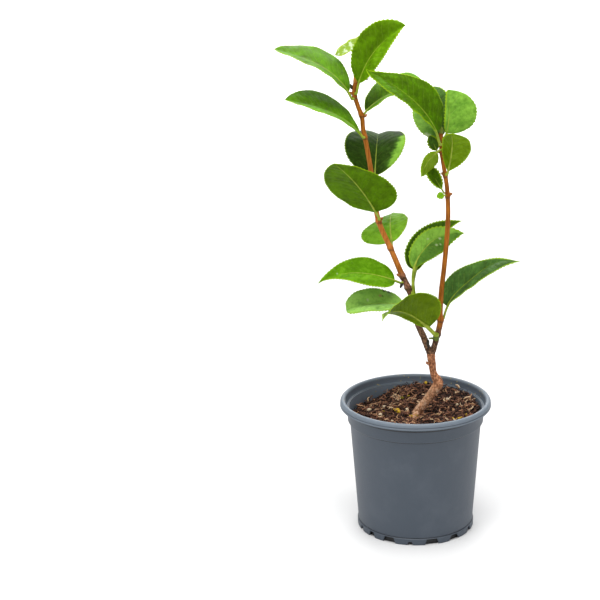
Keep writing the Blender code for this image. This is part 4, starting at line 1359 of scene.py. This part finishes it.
# Buds and torn bracts that stand by themselves: foot, way, length, radius and tone
LOOSE_BUDS = [((-45.2, 7, 356.6), (0.05, -0.1, 1.0), 6.4, 2.1, 0.95),
              ((-47.4, 6.6, 352.4), (-0.35, -0.1, 1.0), 4.6, 1.3, 0.0),
              ((-40.4, 3, 360.0), (1.0, 0.0, 0.15), 6.0, 0.9, 0.15),
              ((-10.2, -4.4, 203.0), (-0.4, -0.5, -1.0), 4.4, 1.3, 0.0),
              ((9.6, -9.4, 158.8), (0.1, -0.2, -1.0), 7.6, 1.3, 0.0),
              ((16.3, -11, 158.0), (-0.05, -0.15, 1.0), 7.0, 2.6, 0.33),
              ((14.6, -12, 160.2), (-1.0, -0.1, 0.1), 4.6, 0.9, 0.4)]


def add_bud(heap, shape, foot, way, length, radius, tone):
    """A pointed bud of overlapping scales."""
    corners, faces = shape
    turn = unit(Vector(way)).to_track_quat("Z", "Y").to_matrix()
    points = []
    for corner in corners:
        share = (corner.z + 1) / 2
        angle = math.atan2(corner.y, corner.x)
        full = math.hypot(corner.x, corner.y) * (1.15 - 0.55 * share)
        full *= 1 + 0.10 * math.sin(3 * angle + 7 * share) * ease(share, 0.05, 0.3)
        local = Vector((math.cos(angle) * full * radius, math.sin(angle) * full * radius, share * length))
        points.append(foot + turn @ local)
    heap.add(points, faces, tone=tone)


def make_buds():
    """Buds in the angles of leaves and at the stems' tips, and the torn bracts near them."""
    heap = Heap()
    shape = ball(4)
    for stem, height, way, length, radius, tone in BUDS:
        middle, stem_radius, stem_way = stem_point(stem, height)
        way = unit(Vector(way))
        outward = way - stem_way * way.dot(stem_way)
        foot = middle + unit(outward) * stem_radius * min(1.0, 1.6 * outward.length)
        add_bud(heap, shape, foot, way, length, radius, tone)
    for foot, way, length, radius, tone in LOOSE_BUDS:
        add_bud(heap, shape, Vector(foot), way, length, radius, tone)
    show("buds", heap.mesh("buds"), [finish("bud_scales", {"IOR": 1.4}, bud_scales)])


# Studio: places in metres, angles in degrees, lens and sensor in millimetres

CAMERA_DISTANCE = 1.16
CAMERA_HEIGHT = 0.537
CAMERA_PITCH = 16.75
CAMERA_TURN = 4.265
CAMERA_LENS = 92.76
CAMERA_SENSOR = 36
CAMERA_SIGHT = 50
FLOOR_REACH = 9.0
BEND_START = 2.6          # the floor curves up behind this
BEND_RADIUS = 0.8
BACKDROP_TOP = 4.0
SKY_STRENGTH = 0.60
# Soft lights: name, place, aim, size in metres and power in watts
LIGHTS = [("top", (0.0, -0.35, 1.7), (0, 0, 0.2), 1.1, 27.0),
          ("key", (-0.85, -0.95, 1.3), (0, 0, 0.2), 0.8, 5.5),
          ("back", (0, 2.0, 1.6), (0, 2.0, 0), 2.0, 48.0)]


def make_camera():
    camera = placed("camera", bpy.data.cameras.new("camera"))
    camera.data.lens = CAMERA_LENS
    camera.data.sensor_width = CAMERA_SENSOR
    camera.data.clip_end = CAMERA_SIGHT
    aimed = Matrix.Rotation(math.radians(90 - CAMERA_PITCH), 4, "X")
    turned = Matrix.Rotation(math.radians(CAMERA_TURN), 4, "Y")
    camera.matrix_world = Matrix.Translation((0, -CAMERA_DISTANCE, CAMERA_HEIGHT)) @ aimed @ turned
    bpy.context.scene.camera = camera


def area_light(name, place, aim, size, power):
    light = bpy.data.lights.new(name, "AREA")
    light.shape = "DISK"
    light.size = size
    light.energy = power
    lamp = placed(name, light)
    lamp.location = place
    lamp.rotation_euler = (Vector(aim) - Vector(place)).to_track_quat("-Z", "Y").to_euler()


def make_studio():
    """White surroundings, a pale floor that curves up far behind, and soft lights from above."""
    bm = bmesh.new()
    rows = []
    bend = arc((BEND_START, BEND_RADIUS), (BEND_RADIUS, BEND_RADIUS), -90, 0, 6)
    for y, z in [(-FLOOR_REACH, 0.0), *bend, (BEND_START + BEND_RADIUS, BACKDROP_TOP)]:
        rows.append([bm.verts.new((x, y, z)) for x in (-FLOOR_REACH, FLOOR_REACH)])
    for low, high in zip(rows, rows[1:]):
        bm.faces.new((low[0], low[1], high[1], high[0]))
    floor = placed("pale_floor", mesh_of(bm, "pale_floor"))
    floor.data.materials.append(finish("pale_floor", {"IOR": 1.3}, pale_floor))
    world = bpy.data.worlds.new("white_surroundings")
    world.use_nodes = True
    sky = world.node_tree.nodes["Background"].inputs
    sky["Color"].default_value = (1.0, 1.0, 1.0, 1.0)
    sky["Strength"].default_value = SKY_STRENGTH
    bpy.context.scene.world = world
    for light in LIGHTS:
        area_light(*light)
    bpy.context.scene.view_settings.view_transform = "Standard"
    bpy.context.scene.view_settings.look = "None"


make_camera()
make_studio()
make_pot()
make_soil_bed()
CRUMBS = finish("crumbs", {"IOR": 1.3}, crumbs_finish)
make_crumbs()
make_fibres()
make_loose_bits()
make_trunk()
SHOOT_BARK = finish("shoot_bark", {"IOR": 1.4, "Specular IOR Level": 0.2}, shoot_bark)
for stem_side in STEMS:
    make_stem(stem_side)
LEAF_UPPER = finish("leaf_upper", {"IOR": 1.45, "Specular IOR Level": 0.03}, satin_leaf)
LEAF_GLOSSY = finish("leaf_glossy", {"IOR": 1.45, "Specular IOR Level": 0.07}, satin_leaf)
LEAF_UNDER = finish("leaf_under", {"IOR": 1.45, "Specular IOR Level": 0.04}, matt_leaf)
VARIEGATED = finish("variegated_leaf", {"IOR": 1.45, "Specular IOR Level": 0.2}, variegated_leaf)
for leaf_row in LEAVES:
    make_blade(leaf_row)
make_stalks()
make_buds()
